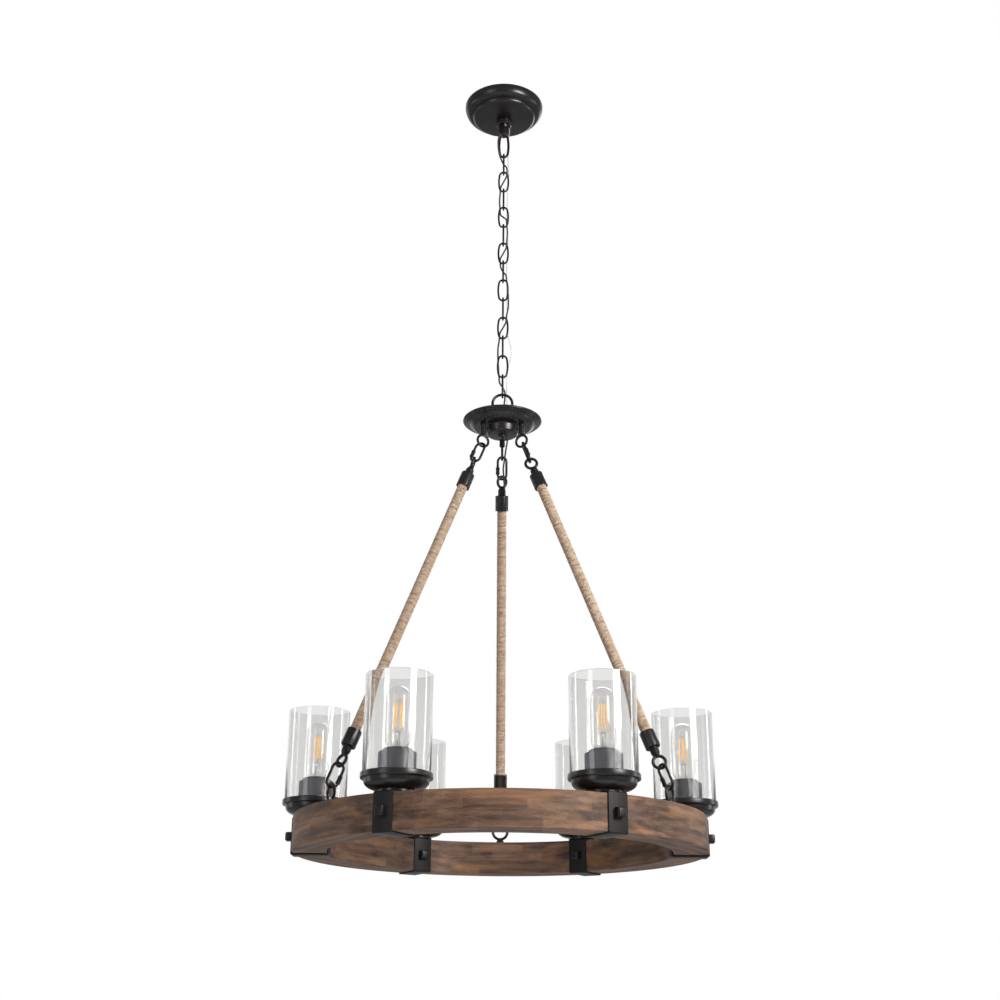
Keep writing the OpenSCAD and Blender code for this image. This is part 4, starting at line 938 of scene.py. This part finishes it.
makeLead("supplyLead", leadRoute, leadSet["diameter"] / 2, "lead", "supply_lead")
makeLead("earthWire", earthRoute, leadSet["earthDiameter"] / 2, "earth", "earth_wire")
makeBackLead()
print("leads made")

# the hub

hubSet = {
    "radius": 65 * mm, "wall": 1.4 * mm, "lip": 1.6 * mm, "baseRadius": 11 * mm,
    "dish": 11.5 * mm, "drumRadius": 26.5 * mm, "landOut": 44.3 * mm,
    "ridge": 1.8 * mm, "ridgeWidth": 3 * mm, "ridgeStep": 3.7 * mm, "ridgeDrop": 1.4 * mm,
    "loopRadius": 18.7 * mm, "loopWire": 4.6 * mm, "neckRadius": 5.5 * mm, "neckLength": 9.4 * mm,
    "eyeRing": 36.3 * mm, "eyeRadius": 12 * mm, "eyeWire": 4.2 * mm, "eyeStud": 4.7 * mm,
    "eyeGap": 1.5 * mm, "studGroove": 0.5 * mm, "studPitch": 3.1 * mm, "hole": 5.2 * mm,
}
hangerAzimuths = {"left": -60, "right": 60, "back": 180}


def circlePath(radius, steps):
    return upright([(radius * math.cos(2 * math.pi * k / steps), radius * math.sin(2 * math.pi * k / steps))
                    for k in range(steps)])


def makeHub():
    s = hubSet
    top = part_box("hub_plate")[1].z
    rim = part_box("hub_plate")[0].z
    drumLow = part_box("hub_cover")[0].z
    drumTop = rim - s["dish"]
    r = s["radius"]
    upper = [(r, rim), (r, rim + s["lip"]), (r - 4 * mm, rim + s["lip"] + 1.6 * mm),
             (19 * mm, top), (s["hole"], top), (s["hole"], top - s["wall"]), (19 * mm, top - s["wall"]),
             (r - 5 * mm, rim + s["lip"]), (r - 5 * mm, rim)]
    upper = fillet(upper, [0.3 * mm, 1.0 * mm, 3 * mm, 6 * mm, 0, 0, 5 * mm, 0.5 * mm, 0.2 * mm], 6)
    carried("hubPlate", latheMesh("hubPlate", upper, 128), "blackSheet", "hub", ["hub_plate"])
    outer = []
    for k in range(3):
        start = r - 0.6 * mm - k * s["ridgeStep"]
        outer += quarter(start, start - s["ridgeWidth"], rim - k * s["ridgeDrop"], s["ridge"], 6)
    dishStart = outer[-1]
    for k in range(1, 10):
        t = k / 10
        outer.append((dishStart[0] + (s["landOut"] - dishStart[0]) * t,
                      dishStart[1] + (drumTop - dishStart[1]) * math.sin(t * math.pi / 2)))
    outer += [(s["landOut"], drumTop), (s["drumRadius"] + 2.5 * mm, drumTop)]
    outer += arcPoints((s["drumRadius"] + 2.2 * mm, drumTop - 2 * mm), 2 * mm, 90, 80, 5)
    outer += quarter(s["drumRadius"] - 0.8 * mm, s["drumRadius"] - 4.8 * mm, drumLow + 4 * mm, 4 * mm, 8)
    outer.append((s["hole"], drumLow))
    inner = [(r2 - s["wall"], min(z + s["wall"], rim)) for r2, z in reversed(outer) if r2 > s["hole"] + 2 * s["wall"]]
    outline = outer + [(s["hole"], drumLow + s["wall"])] + inner
    carried("hubCover", latheMesh("hubCover", outline, 128), "blackSheet", "hub", ["hub_cover"])
    ring = wireMesh("ring", circlePath(s["loopRadius"] - s["loopWire"] / 2, 72), s["loopWire"] / 2, "blackIron",
                    closed=True, sides=20, matrix=shifted(0, 0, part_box("hub_loop")[1].z - s["loopRadius"]))
    neck = latheMesh("neck", fillet([
        (0, top + 0.05 * mm), (s["baseRadius"], top + 0.05 * mm), (s["baseRadius"], top + 2.4 * mm),
        (s["neckRadius"] + 0.5 * mm, top + 3.2 * mm), (s["neckRadius"], top + 5 * mm),
        (s["neckRadius"] - 1 * mm, top + s["neckLength"] + 0.6 * mm), (0, top + s["neckLength"] + 0.6 * mm)],
        [0, 0.4 * mm, 0.8 * mm, 1 * mm, 1 * mm, 0.8 * mm, 0], 4), 64)
    carried("hubLoop", joinMeshes("hubLoop", [ring, neck]), "blackIron", "hub", ["hub_loop"])
    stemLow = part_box("hub_stem")[0].z
    cap = latheMesh("cap", [(6.5 * mm * math.sin(t), stemLow + 3.6 * mm * (1 - math.cos(t))) for t in
                            [math.pi / 2 * k / 8 for k in range(9)]] +
                    [(6.5 * mm, drumLow - 0.1 * mm), (0, drumLow - 0.1 * mm)], 48)
    giveFinish(cadNodes["hub_stem"].data, "blackIron")
    carried("hubCapNut", cap, "blackIron", "hub", ["hub_stem"])
    makeHubEyes(drumTop)


def makeHubEyes(drumTop):
    s = hubSet
    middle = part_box("hub_eyes")[0].z + s["eyeRadius"]
    meshes = []
    for azimuth in hangerAzimuths.values():
        place = turned(azimuth) @ shifted(0, -s["eyeRing"], 0)
        ring = wireMesh("eye", circlePath(s["eyeRadius"] - s["eyeWire"] / 2, 56), s["eyeWire"] / 2, "blackIron",
                        closed=True, sides=18, matrix=place @ shifted(0, 0, middle) @
                        turned(90))
        low = middle + s["eyeRadius"] + s["eyeGap"]
        r, groove = s["eyeStud"], s["studGroove"]
        side = [(0, low - 1.8 * mm), (r - 1.6 * mm, low - 1.6 * mm), (r, low)]
        for k in range(1, 5):
            z = low + k * s["studPitch"]
            side += [(r, z - 1.3 * groove), (r - groove, z), (r, z + 1.3 * groove)]
        side += [(r, drumTop), (3 * mm, drumTop + 0.4 * mm), (3 * mm, drumTop + 5 * mm), (0, drumTop + 5 * mm)]
        stud = latheMesh("stud", fillet(side, 0.25 * mm, 2), 40, place)
        meshes += [ring, stud]
    carried("hubEyes", joinMeshes("hubEyes", meshes), "blackIron", "hub", ["hub_eyes"])


makeHub()
print("hub made")

# the three rope-wound rods with their ferrules, eyes and quick links

hangerSet = {
    "ropeLength": 442 * mm, "ropeRadius": 8 * mm, "twineRadius": 1.32 * mm, "turns": 186,
    "fibres": 16000.0, "fibreRadius": 0.06 * mm,
    "ferruleRadius": 11 * mm, "ferruleLength": 26 * mm, "eyeOut": 22.5 * mm, "eyeRadius": 11.5 * mm,
    "eyeWire": 4.7 * mm, "neckRadius": 6.6 * mm, "neckTop": 4.4 * mm,
    "quickLength": 41 * mm, "quickWidth": 20 * mm, "quickWire": 4 * mm,
    "sleeveLength": 12 * mm, "sleeveRadius": 3.5 * mm, "play": 0.3 * mm,
    "turnsLeft": (-50, 60, -75, 170), "turnsRight": (-60, 30, 35, 155), "turnsBack": (65, 130, 90, 0),
}


def hangerPlace(side, along, turn):
    joint = joints[side + "_hanger_swing"]
    start = Vector(joint["pos_m"])
    lean = math.asin(joint["axis"][2])
    azimuth = math.radians(hangerAzimuths[side])
    return (Matrix.Rotation(azimuth, 4, "Z") @ shifted(0, -math.hypot(start.x, start.y), start.z)
            @ Matrix.Rotation(-lean, 4, "X") @ shifted(0, 0, -along)
            @ turned(90 + turn))


def quickLinkMesh():
    s = hangerSet
    endRadius = (s["quickWidth"] - s["quickWire"]) / 2
    half = (s["quickLength"] - s["quickWire"]) / 2 - endRadius
    path = arcPoints((0, half), endRadius, 0, 180, 20) + arcPoints((0, -half), endRadius, 180, 180, 20)
    link = wireMesh("quickLink", upright(path), s["quickWire"] / 2, "blackIron", closed=True, sides=18)
    r = s["sleeveRadius"]
    sleeve = latheMesh("sleeve", fillet([
        (s["quickWire"] / 2 - 0.2 * mm, 0), (r - 0.4 * mm, 0), (r, 0.5 * mm), (r, 2.2 * mm),
        (r - 0.35 * mm, 2.6 * mm), (r - 0.35 * mm, s["sleeveLength"] - 2.6 * mm), (r, s["sleeveLength"] - 2.2 * mm),
        (r, s["sleeveLength"] - 0.5 * mm), (r - 0.4 * mm, s["sleeveLength"]),
        (s["quickWire"] / 2 - 0.2 * mm, s["sleeveLength"])], 0.15 * mm, 2), 40)
    sleeve.transform(shifted(-endRadius, 0, -half))
    threads = grown("threads", "winding", pathMesh([(0, 0, 0), (0, 0, 1)]), {
        "Length": 3.2 * mm, "Turns": 5.0, "Winding Radius": s["quickWire"] / 2, "Twine Radius": 0.22 * mm,
        "Points per Turn": 20, "Sides": 6, "Unevenness": 0.0, "Finish": finishes["blackIron"]})
    threads.transform(shifted(-endRadius, 0, -half + s["sleeveLength"] + 0.2 * mm))
    return joinMeshes("quickLink", [link, sleeve, threads])


def rodEyeMesh():
    s = hangerSet
    middleRadius = s["eyeRadius"] - s["eyeWire"] / 2
    ring = wireMesh("eye", circlePath(middleRadius, 56), s["eyeWire"] / 2, "blackIron", closed=True, sides=18,
                    matrix=shifted(0, 0, s["eyeOut"]))
    low = s["eyeOut"] - middleRadius
    r = s["neckRadius"]
    outline = [(0, 0), (r, 0)]
    for z in (2.4 * mm, 5 * mm):
        outline += [(r, z - 0.6 * mm), (r - 0.6 * mm, z), (r, z + 0.6 * mm)]
    outline += [(r, 8 * mm), (s["neckTop"], low), (s["neckTop"] - 1 * mm, low + 1 * mm), (0, low + 1 * mm)]
    neck = latheMesh("neck", fillet(outline, 0.2 * mm, 2), 48)
    return joinMeshes("rodEye", [ring, neck])


def ferruleMesh():
    s = hangerSet
    r = s["ferruleRadius"]
    length = s["ferruleLength"]
    outline = [(0, 19 * mm), (8.3 * mm, 19 * mm), (8.3 * mm, 0.4 * mm), (8.7 * mm, 0), (r - 0.4 * mm, 0), (r, 0.5 * mm),
               (r, length - 1.0 * mm), (r - 0.9 * mm, length), (0, length)]
    return latheMesh("ferrule", fillet(outline, [0, 0, 0, 0.2 * mm, 0.3 * mm, 0.4 * mm, 0.6 * mm, 0.6 * mm, 0], 3), 72)


def makeHangers():
    s = hangerSet
    hubHook = (hubSet["eyeWire"] + s["quickWire"]) / 2 + s["play"]
    rodHook = (s["eyeWire"] + s["quickWire"]) / 2 + s["play"]
    quickSpan = s["quickLength"] - s["quickWire"]
    eyeMiddle = s["eyeRadius"] - s["eyeWire"] / 2
    upperQuick = quickSpan / 2 - hubHook
    upperEye = quickSpan - hubHook - rodHook + eyeMiddle
    ferruleTop = upperEye + s["eyeOut"]
    ropeTop = ferruleTop + s["ferruleLength"]
    ropeLow = ropeTop + s["ropeLength"]
    ferruleLow = ropeLow + s["ferruleLength"]
    lowerEye = ferruleLow + s["eyeOut"]
    lowerQuick = lowerEye + eyeMiddle - rodHook + quickSpan / 2
    quick, rodEye, ferrule = quickLinkMesh(), rodEyeMesh(), ferruleMesh()
    flip = Matrix.Rotation(math.pi, 4, "X")
    for seed, side in enumerate(hangerAzimuths):
        turns = s["turns" + side.capitalize()]
        body = side + "_hanger"
        links = [placed(quick, hangerPlace(side, upperQuick, turns[0])),
                 placed(quick, hangerPlace(side, lowerQuick, turns[3]))]
        carried(side + "QuickLinks", joinMeshes("links", links), "blackIron", body, [side + "_quick_links"])
        eyes = [placed(rodEye, hangerPlace(side, ferruleTop, turns[1])),
                placed(rodEye, hangerPlace(side, ferruleLow, turns[2]) @ flip)]
        carried(side + "RodEyes", joinMeshes("eyes", eyes), "blackIron", body, [side + "_rod_eyes"])
        caps = [placed(ferrule, hangerPlace(side, ropeTop, 0)), placed(ferrule, hangerPlace(side, ropeLow, 0) @ flip)]
        carried(side + "Ferrules", joinMeshes("caps", caps), "blackSheet", body, [side + "_ferrules"])
        rope = grown(side + "Rope", "winding", pathMesh([(0, 0, 0), (0, 0, 1)]), {
            "Length": s["ropeLength"] + 8 * mm, "Turns": float(s["turns"]),
            "Winding Radius": s["ropeRadius"] - s["twineRadius"], "Twine Radius": s["twineRadius"],
            "Points per Turn": 26, "Sides": 8, "Unevenness": 0.5 * mm, "Seed": 3.1 * seed + 1.7,
            "Finish": finishes["jute"]})
        fuzz = grown(side + "Fuzz", "fuzz", rope.copy(), {
            "Count per Square Metre": s["fibres"], "Fibre Radius": s["fibreRadius"], "Seed": 4 + seed,
            "Finish": finishes["jute"]})
        rope = joinMeshes("rope", [rope, fuzz])
        rope.transform(hangerPlace(side, ropeLow + 4 * mm, 0))
        carried(side + "Rope", rope, "jute", body, [side + "_rope"])
        giveFinish(cadNodes[side + "_rod"].data, "zinc")


makeHangers()
print("rods made")

# the wooden wheel

wheelSet = {
    "outer": 305 * mm, "inner": 254 * mm, "count": 6, "bevel": 1.6 * mm, "jointGap": 0.2 * mm,
    "ripple": 0.25 * mm, "lampRing": 276 * mm,
    "eyeRing": 273.5 * mm, "eyeRadius": 14.3 * mm, "eyeWire": 4.5 * mm,
}
strapSet = {"width": 30 * mm, "thick": 2 * mm, "bend": 2.6 * mm, "play": 0.2 * mm}
boltSet = {"headWidth": 12.7 * mm, "headLength": 10.2 * mm, "radius": 3 * mm}
lampAzimuths = [30 + 60 * k for k in range(6)]


def makeFelloes():
    s = wheelSet
    low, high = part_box("felloes")
    b = s["bevel"]
    section = [(s["inner"], low.z), (s["outer"], low.z), (s["outer"], high.z), (s["inner"], high.z)]
    rounded = fillet(section, b, 4)
    sides = []
    for i, point in enumerate(rounded):  # more points along the four flat faces
        nextPoint = rounded[(i + 1) % len(rounded)]
        parts = max(1, round(math.dist(point, nextPoint) / (6 * mm)))
        sides += [tuple(Vector(point).lerp(Vector(nextPoint), k / parts)) for k in range(parts)]
    halfGap = math.degrees(s["jointGap"] / 2 / s["outer"])
    made = bmesh.new()
    grain = made.verts.layers.float_vector.new("grainPlace")
    steps = 56
    for number in range(s["count"]):
        middle = 60 * number
        rings = []
        for k in range(steps + 1):
            local = -30 + halfGap + (60 - 2 * halfGap) * k / steps
            ring = []
            for r, z in sides:
                azimuth = math.radians(middle + local)
                point = Vector((r * math.sin(azimuth), -r * math.cos(azimuth), z))
                lift = noise.noise(point * 28) * s["ripple"]
                shrink = r - abs(lift) if r > 0.28 else r + abs(lift)
                vert = made.verts.new((shrink * math.sin(azimuth), -shrink * math.cos(azimuth), z))
                turn = math.radians(local)
                vert[grain] = (r * math.sin(turn) + 3.7 * number, r * math.cos(turn) + 1.3 * number,
                               z + 0.0064 + 5.1 * number)
                ring.append(vert)
            rings.append(ring)
        count = len(sides)
        for a, c in zip(rings, rings[1:]):
            for i in range(count):
                made.faces.new((a[i], a[(i + 1) % count], c[(i + 1) % count], c[i]))
        made.faces.new(list(reversed(rings[0])))
        made.faces.new(rings[-1])
    bmesh.ops.recalc_face_normals(made, faces=made.faces)
    mesh = meshFrom(made, "felloes")
    finishMesh(mesh, 40)
    carried("woodFelloes", mesh, "wood", "wheel", ["felloes"])


def strapFaces():
    s = strapSet
    flat = math.sqrt(wheelSet["inner"] ** 2 - (s["width"] / 2) ** 2)
    return flat - s["play"] - s["thick"], wheelSet["outer"] + s["play"] + s["thick"]


def strapMesh():
    s = strapSet
    low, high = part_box("straps")
    inner, outer = strapFaces()
    outline = fillet([(inner, low.z), (outer, low.z), (outer, high.z), (inner, high.z)], s["bend"], 6)
    inside = fillet([(inner + s["thick"], low.z + s["thick"]), (outer - s["thick"], low.z + s["thick"]),
                     (outer - s["thick"], high.z - s["thick"]), (inner + s["thick"], high.z - s["thick"])],
                    s["bend"] - s["thick"], 6)
    made = bmesh.new()
    half = s["width"] / 2
    rings = []
    for x, path in ((-half, outline), (half, outline), (half, inside), (-half, inside)):
        rings.append([made.verts.new((x, -r, z)) for r, z in path])
    for a, c in zip(rings, rings[1:] + rings[:1]):
        for i in range(len(a)):
            made.faces.new((a[i], a[(i + 1) % len(a)], c[(i + 1) % len(a)], c[i]))
    bmesh.ops.recalc_face_normals(made, faces=made.faces)
    return bevelled(meshFrom(made, "strap"), 0.45 * mm, 2, 60)


def squareHead():
    s = boltSet
    made = bmesh.new()
    half = s["headWidth"] / 2
    bmesh.ops.create_cube(made, size=1.0)
    bmesh.ops.transform(made, matrix=shifted(0, 0, s["headLength"] / 2) @
                        Matrix.Diagonal((2 * half, 2 * half, s["headLength"], 1)), verts=made.verts)
    top = [e for e in made.edges if all(v.co.z > s["headLength"] * 0.9 for v in e.verts)]
    bmesh.ops.bevel(made, geom=top, offset=1.6 * mm, segments=1, affect="EDGES")
    return bevelled(meshFrom(made, "head"), 0.4 * mm, 3, 20)


def makeStrapsAndBolts():
    middle = (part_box("felloes")[0].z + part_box("felloes")[1].z) / 2
    straps = grown("straps", "around", strapMesh(), {"Count": 6, "First Azimuth": 30.0, "Finish": finishes["blackStrap"]})
    carried("strapBands", straps, "blackStrap", "wheel", ["straps"])
    inside, face = strapFaces()
    head = squareHead()
    nut = head.copy()
    head.transform(shifted(0, -face, middle) @ turned(90, "X"))
    nut.transform(shifted(0, -inside, middle) @ turned(-90, "X"))
    washers = []
    for place, turn in ((-face, 90), (-inside, -90)):
        washer = latheMesh("washer", fillet([(2 * mm, 0), (8.2 * mm, 0), (8.2 * mm, 0.9 * mm), (2 * mm, 0.9 * mm)],
                                            0.25 * mm, 3), 40)
        washer.transform(shifted(0, place, middle) @ turned(turn, "X"))
        washers.append(washer)
    one = joinMeshes("bolt", [head, nut] + washers)
    bolts = grown("bolts", "around", one, {"Count": 6, "First Azimuth": 30.0, "Finish": finishes["blackIron"]})
    carried("strapBolts", bolts, "blackIron", "wheel", ["strap_bolts"])


def makeRingEyes():
    radius, wire = wheelSet["eyeRadius"], wheelSet["eyeWire"]
    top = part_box("ring_eyes")[1].z
    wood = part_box("felloes")[1].z
    ring = wireMesh("eye", circlePath(radius - wire / 2, 60), wire / 2, "blackIron", closed=True, sides=18,
                    matrix=shifted(0, -wheelSet["eyeRing"], top - radius))
    neckTop = top - 2 * radius + wire / 2
    neck = latheMesh("neck", fillet([
        (0, wood + 0.05 * mm), (6.8 * mm, wood + 0.05 * mm), (6.8 * mm, wood + 2 * mm), (4.2 * mm, neckTop),
        (3.4 * mm, neckTop + 0.8 * mm), (0, neckTop + 0.8 * mm)], [0, 0.4 * mm, 0.5 * mm, 0.4 * mm, 0.3 * mm, 0], 4), 48,
        shifted(0, -wheelSet["eyeRing"], 0))
    one = joinMeshes("ringEye", [ring, neck])
    eyes = grown("ringEyes", "around", one, {"Count": 3, "First Azimuth": 60.0, "Finish": finishes["blackIron"]})
    carried("ringEyes", eyes, "blackIron", "wheel", ["ring_eyes"])


makeFelloes()
makeStrapsAndBolts()
makeRingEyes()
print("wheel made")

# the lamps: pan, sleeve, socket, glass and bulb

lampSet = {
    "panRadius": 48.95 * mm, "panHeight": 26.6 * mm, "rimHeight": 8 * mm, "footRadius": 25 * mm, "footHeight": 4 * mm, "wall": 2 * mm,
    "sleeveRadius": 26.3 * mm, "sleeveHeight": 49 * mm, "sleeveWall": 1.2 * mm,
    "socketRadius": 20.6 * mm, "socketTop": 60 * mm, "boreRadius": 13.3 * mm, "boreDepth": 30 * mm,
    "shadeRadius": 46.3 * mm, "shadeWall": 2 * mm, "shadeHeight": 138 * mm, "seat": 5 * mm,
}
bulbSet = {
    "low": 30.3 * mm, "baseRadius": 12.9 * mm, "baseLength": 24 * mm, "radius": 17.4 * mm, "glassLength": 87 * mm,
    "filamentLength": 32 * mm, "filamentRadius": 1 * mm, "filamentRing": 6 * mm, "filamentDrop": 22 * mm,
    "turns": (24, 30, -22, 26, -28, 20),  # of each bulb in its socket
}


def panMesh():
    s = lampSet
    ledge = s["panHeight"] - s["rimHeight"] - 3.4 * mm
    r, foot = s["panRadius"], s["footRadius"]
    ledgeRadius = r - 5 * mm
    low, floor, seat = s["footHeight"], s["footHeight"] + s["wall"], s["panHeight"] - s["seat"] - 0.3 * mm
    outer = [(5.2 * mm, 0), (foot - 0.5 * mm, 0), (foot, 0.5 * mm)]
    for k in range(0, 13):
        t = math.pi / 2 * k / 12
        outer.append((foot + (ledgeRadius - foot) * math.sin(t), low + (ledge - low) * (1 - math.cos(t))))
    outer += fillet([(ledgeRadius, ledge + 3.4 * mm), (r - 0.8 * mm, ledge + 3.4 * mm), (r, ledge + 4.4 * mm),
                     (r, s["panHeight"] - 1 * mm), (r - 0.8 * mm, s["panHeight"]),
                     (s["shadeRadius"] + 0.7 * mm, s["panHeight"]), (s["shadeRadius"] + 0.5 * mm, seat + 0.7 * mm),
                     (s["shadeRadius"], seat)],
                    [0.5 * mm, 0.4 * mm, 0.8 * mm, 0.6 * mm, 0.4 * mm, 0.3 * mm, 0.2 * mm, 0], 3)
    inside = s["sleeveRadius"] + 0.6 * mm
    for k in range(12, 0, -1):
        t = math.pi / 2 * k / 12
        outer.append((inside + (ledgeRadius - s["wall"] - inside) * math.sin(t),
                      floor + (seat - floor) * (1 - math.cos(t))))
    outer.append((5.2 * mm, floor))
    return latheMesh("pan", outer, 96)


def sleeveMesh():
    s = lampSet
    r, low = s["sleeveRadius"], s["footHeight"] + s["wall"] + 0.05 * mm
    top = low + s["sleeveHeight"]
    outline = [(5.2 * mm, low), (r - 0.4 * mm, low), (r, low + 0.4 * mm), (r, top - 0.3 * mm), (r - 0.3 * mm, top),
               (r - s["sleeveWall"] + 0.2 * mm, top), (r - s["sleeveWall"], top - 0.3 * mm),
               (r - s["sleeveWall"], low + s["sleeveWall"]), (5.2 * mm, low + s["sleeveWall"])]
    return latheMesh("sleeve", outline, 80)


def socketMesh():
    s = lampSet
    r, top = s["socketRadius"], s["socketTop"]
    outline = [(0, 7.3 * mm), (r - 1 * mm, 7.3 * mm), (r, 8.3 * mm), (r, top - 6.4 * mm), (r - 0.7 * mm, top - 6 * mm),
               (r - 0.7 * mm, top - 5.2 * mm), (r, top - 4.8 * mm), (r, top - 0.8 * mm), (r - 0.8 * mm, top),
               (s["boreRadius"] + 2.6 * mm, top), (s["boreRadius"] + 2.2 * mm, top - 1.6 * mm),
               (s["boreRadius"] + 0.4 * mm, top - 2 * mm), (s["boreRadius"], top - 2.4 * mm),
               (s["boreRadius"], top - s["boreDepth"]), (0, top - s["boreDepth"])]
    return latheMesh("socket", fillet(outline, 0.25 * mm, 2), 80)


def lampPlace(azimuth):
    turn = turned(azimuth)
    return turn @ shifted(0, -wheelSet["lampRing"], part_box("lamp_pans")[0].z)


def makeLampHolders():
    place = lampPlace(0)
    for name, mesh, finish, node, slot in (
            ("lampPans", panMesh(), "blackSheet", "lamp_pans", "black_steel"),
            ("socketSleeves", sleeveMesh(), "sleeve", "socket_sleeves", "black_steel"),
            ("lampSockets", socketMesh(), "socket", "sockets", "socket_body")):
        mesh.transform(place)
        six = grown(name, "around", mesh, {"Count": 6, "First Azimuth": 30.0, "Finish": finishes[finish]})
        carried(name, six, finish, "wheel", [node])


def shadeMesh():
    s = lampSet
    r, w, h = s["shadeRadius"], s["shadeWall"], s["shadeHeight"]
    low = s["panHeight"] - s["seat"]
    outline = fillet([(r - w, low), (r, low), (r, low + h), (r - w, low + h)], 0.7 * mm, 4)
    return latheMesh("shade", outline, 128)


def bulbGlassMesh():
    s = bulbSet
    baseTop = s["low"] + s["baseLength"] + 1.5 * mm
    top = baseTop + s["glassLength"]
    neck, neckTop, bodyLow = s["baseRadius"] - 0.5 * mm, lampSet["socketTop"] + 0.5 * mm, lampSet["socketTop"] + 12 * mm
    wall = 0.6 * mm

    def side(inset):
        found = [(neck - inset, baseTop - 2 * mm), (neck - inset, neckTop)]
        for k in range(1, 11):
            found.append((neck - inset + (s["radius"] - neck) * (1 - math.cos(math.pi * k / 10)) / 2,
                          neckTop + (bodyLow - neckTop) * k / 10))
        for k in range(0, 15):
            t = math.pi / 2 * k / 14
            found.append(((s["radius"] - inset) * math.cos(t), top - s["radius"] + (s["radius"] - inset) * math.sin(t)))
        found[-1] = (0, found[-1][1])
        return found

    return latheMesh("bulbGlass", side(0) + list(reversed(side(wall))), 72)


def bulbInnerMeshes():
    s = bulbSet
    baseTop = s["low"] + s["baseLength"] + 1.5 * mm
    top = baseTop + s["glassLength"]
    high = top - s["filamentDrop"]
    low = high - s["filamentLength"]
    stem = latheMesh("stem", [(0, baseTop), (9 * mm, baseTop), (5 * mm, baseTop + 5 * mm), (3.2 * mm, baseTop + 12 * mm),
                              (2.6 * mm, low - 10 * mm), (3.4 * mm, low - 7 * mm), (2.2 * mm, low - 5 * mm), (0, low - 5 * mm)], 32)
    bars, wires = [], []
    for k in range(4):
        turn = math.radians(45 + 90 * k)
        foot = Vector((math.cos(turn), math.sin(turn), 0))
        lean = 0.8 * mm
        start = foot * (s["filamentRing"] + lean) + Vector((0, 0, low))
        end = foot * (s["filamentRing"] - lean) + Vector((0, 0, high))
        bars.append(wireMesh("bar", [start, start.lerp(end, 0.5), end], s["filamentRadius"], "filament", sides=10))
        wires.append(wireMesh("wire", [end, end + Vector((0, 0, 2 * mm)), Vector((0, 0, high + 4 * mm))],
                              0.25 * mm, "zinc", sides=6))
        wires.append(wireMesh("wire", [start, start - Vector((0, 0, 3 * mm)), foot * 1.6 * mm + Vector((0, 0, low - 6 * mm))],
                              0.25 * mm, "zinc", sides=6))
    wires.append(wireMesh("wire", [(0, 0, low - 6 * mm), (0, 0, high + 4.5 * mm)], 0.3 * mm, "zinc", sides=6))
    return stem, joinMeshes("bars", bars), joinMeshes("wires", wires)


def bulbBaseMesh():
    s = bulbSet
    low, r = s["low"], s["baseRadius"] - 0.6 * mm
    top = low + s["baseLength"] + 1.3 * mm
    shell = latheMesh("shell", [(0, low + 0.02 * mm), (4.6 * mm, low + 0.02 * mm), (5 * mm, low + 0.9 * mm), (r - 2.4 * mm, low + 1.6 * mm),
                                (r - 0.4 * mm, low + 3.4 * mm), (r, low + 4.2 * mm), (r, top - 0.6 * mm), (r - 0.5 * mm, top), (0, top)], 64)
    threads = grown("threads", "winding", pathMesh([(0, 0, 0), (0, 0, 1)]), {
        "Length": 16 * mm, "Turns": 4.5, "Winding Radius": r - 0.35 * mm, "Twine Radius": 0.95 * mm,
        "Points per Turn": 48, "Sides": 10, "Unevenness": 0.0, "Finish": finishes["brass"]})
    threads.transform(shifted(0, 0, low + 4.6 * mm))
    return joinMeshes("bulbBase", [shell, threads])


def makeShadesAndBulbs():
    shade, glass, base = shadeMesh(), bulbGlassMesh(), bulbBaseMesh()
    stem, bars, wires = bulbInnerMeshes()
    for number, azimuth in enumerate(lampAzimuths, 1):
        place = lampPlace(azimuth)
        askew = place @ turned(bulbSet["turns"][number - 1] - azimuth)
        shadeBody, bulbBody = "shade_%d" % number, "bulb_%d" % number
        for label, mesh, matrix, finish, body, replaced, slot in (
                ("glassShade", shade, place, "shadeGlass", shadeBody, [shadeBody], "shade_glass"),
                ("bulbGlass", glass, place, "bulbGlass", bulbBody, [bulbBody], "bulb_glass"),
                ("bulbStem", stem, place, "bulbGlass", bulbBody, (), "bulb_glass"),
                ("bulbFilaments", bars, askew, "filament", bulbBody, (), None),
                ("bulbWires", wires, askew, "zinc", bulbBody, (), "zinc_steel"),
                ("bulbBase", base, place, "brass", bulbBody, (), None)):
            carried("%s%d" % (label, number), placed(mesh, matrix), finish, body, replaced)


makeLampHolders()
makeShadesAndBulbs()
print("lamps made")

# what stays from the frame gets its finish, and the floor is laid

for name in ("crossbar", "nipple"):
    giveFinish(cadNodes[name].data, "zinc")

stageSet = {  # place, turn about X and half the width in metres
    "floor": ((0, 0, -2.42), 0, 6),
    "backdrop": ((0, 5.9, 4.0), 90, 6.5),
}

for name, (place, turn, size) in stageSet.items():
    made = bmesh.new()
    bmesh.ops.create_grid(made, x_segments=1, y_segments=1, size=size, matrix=shifted(*place) @ turned(turn, "X"))
    placeObject(name, meshFrom(made, name), name)
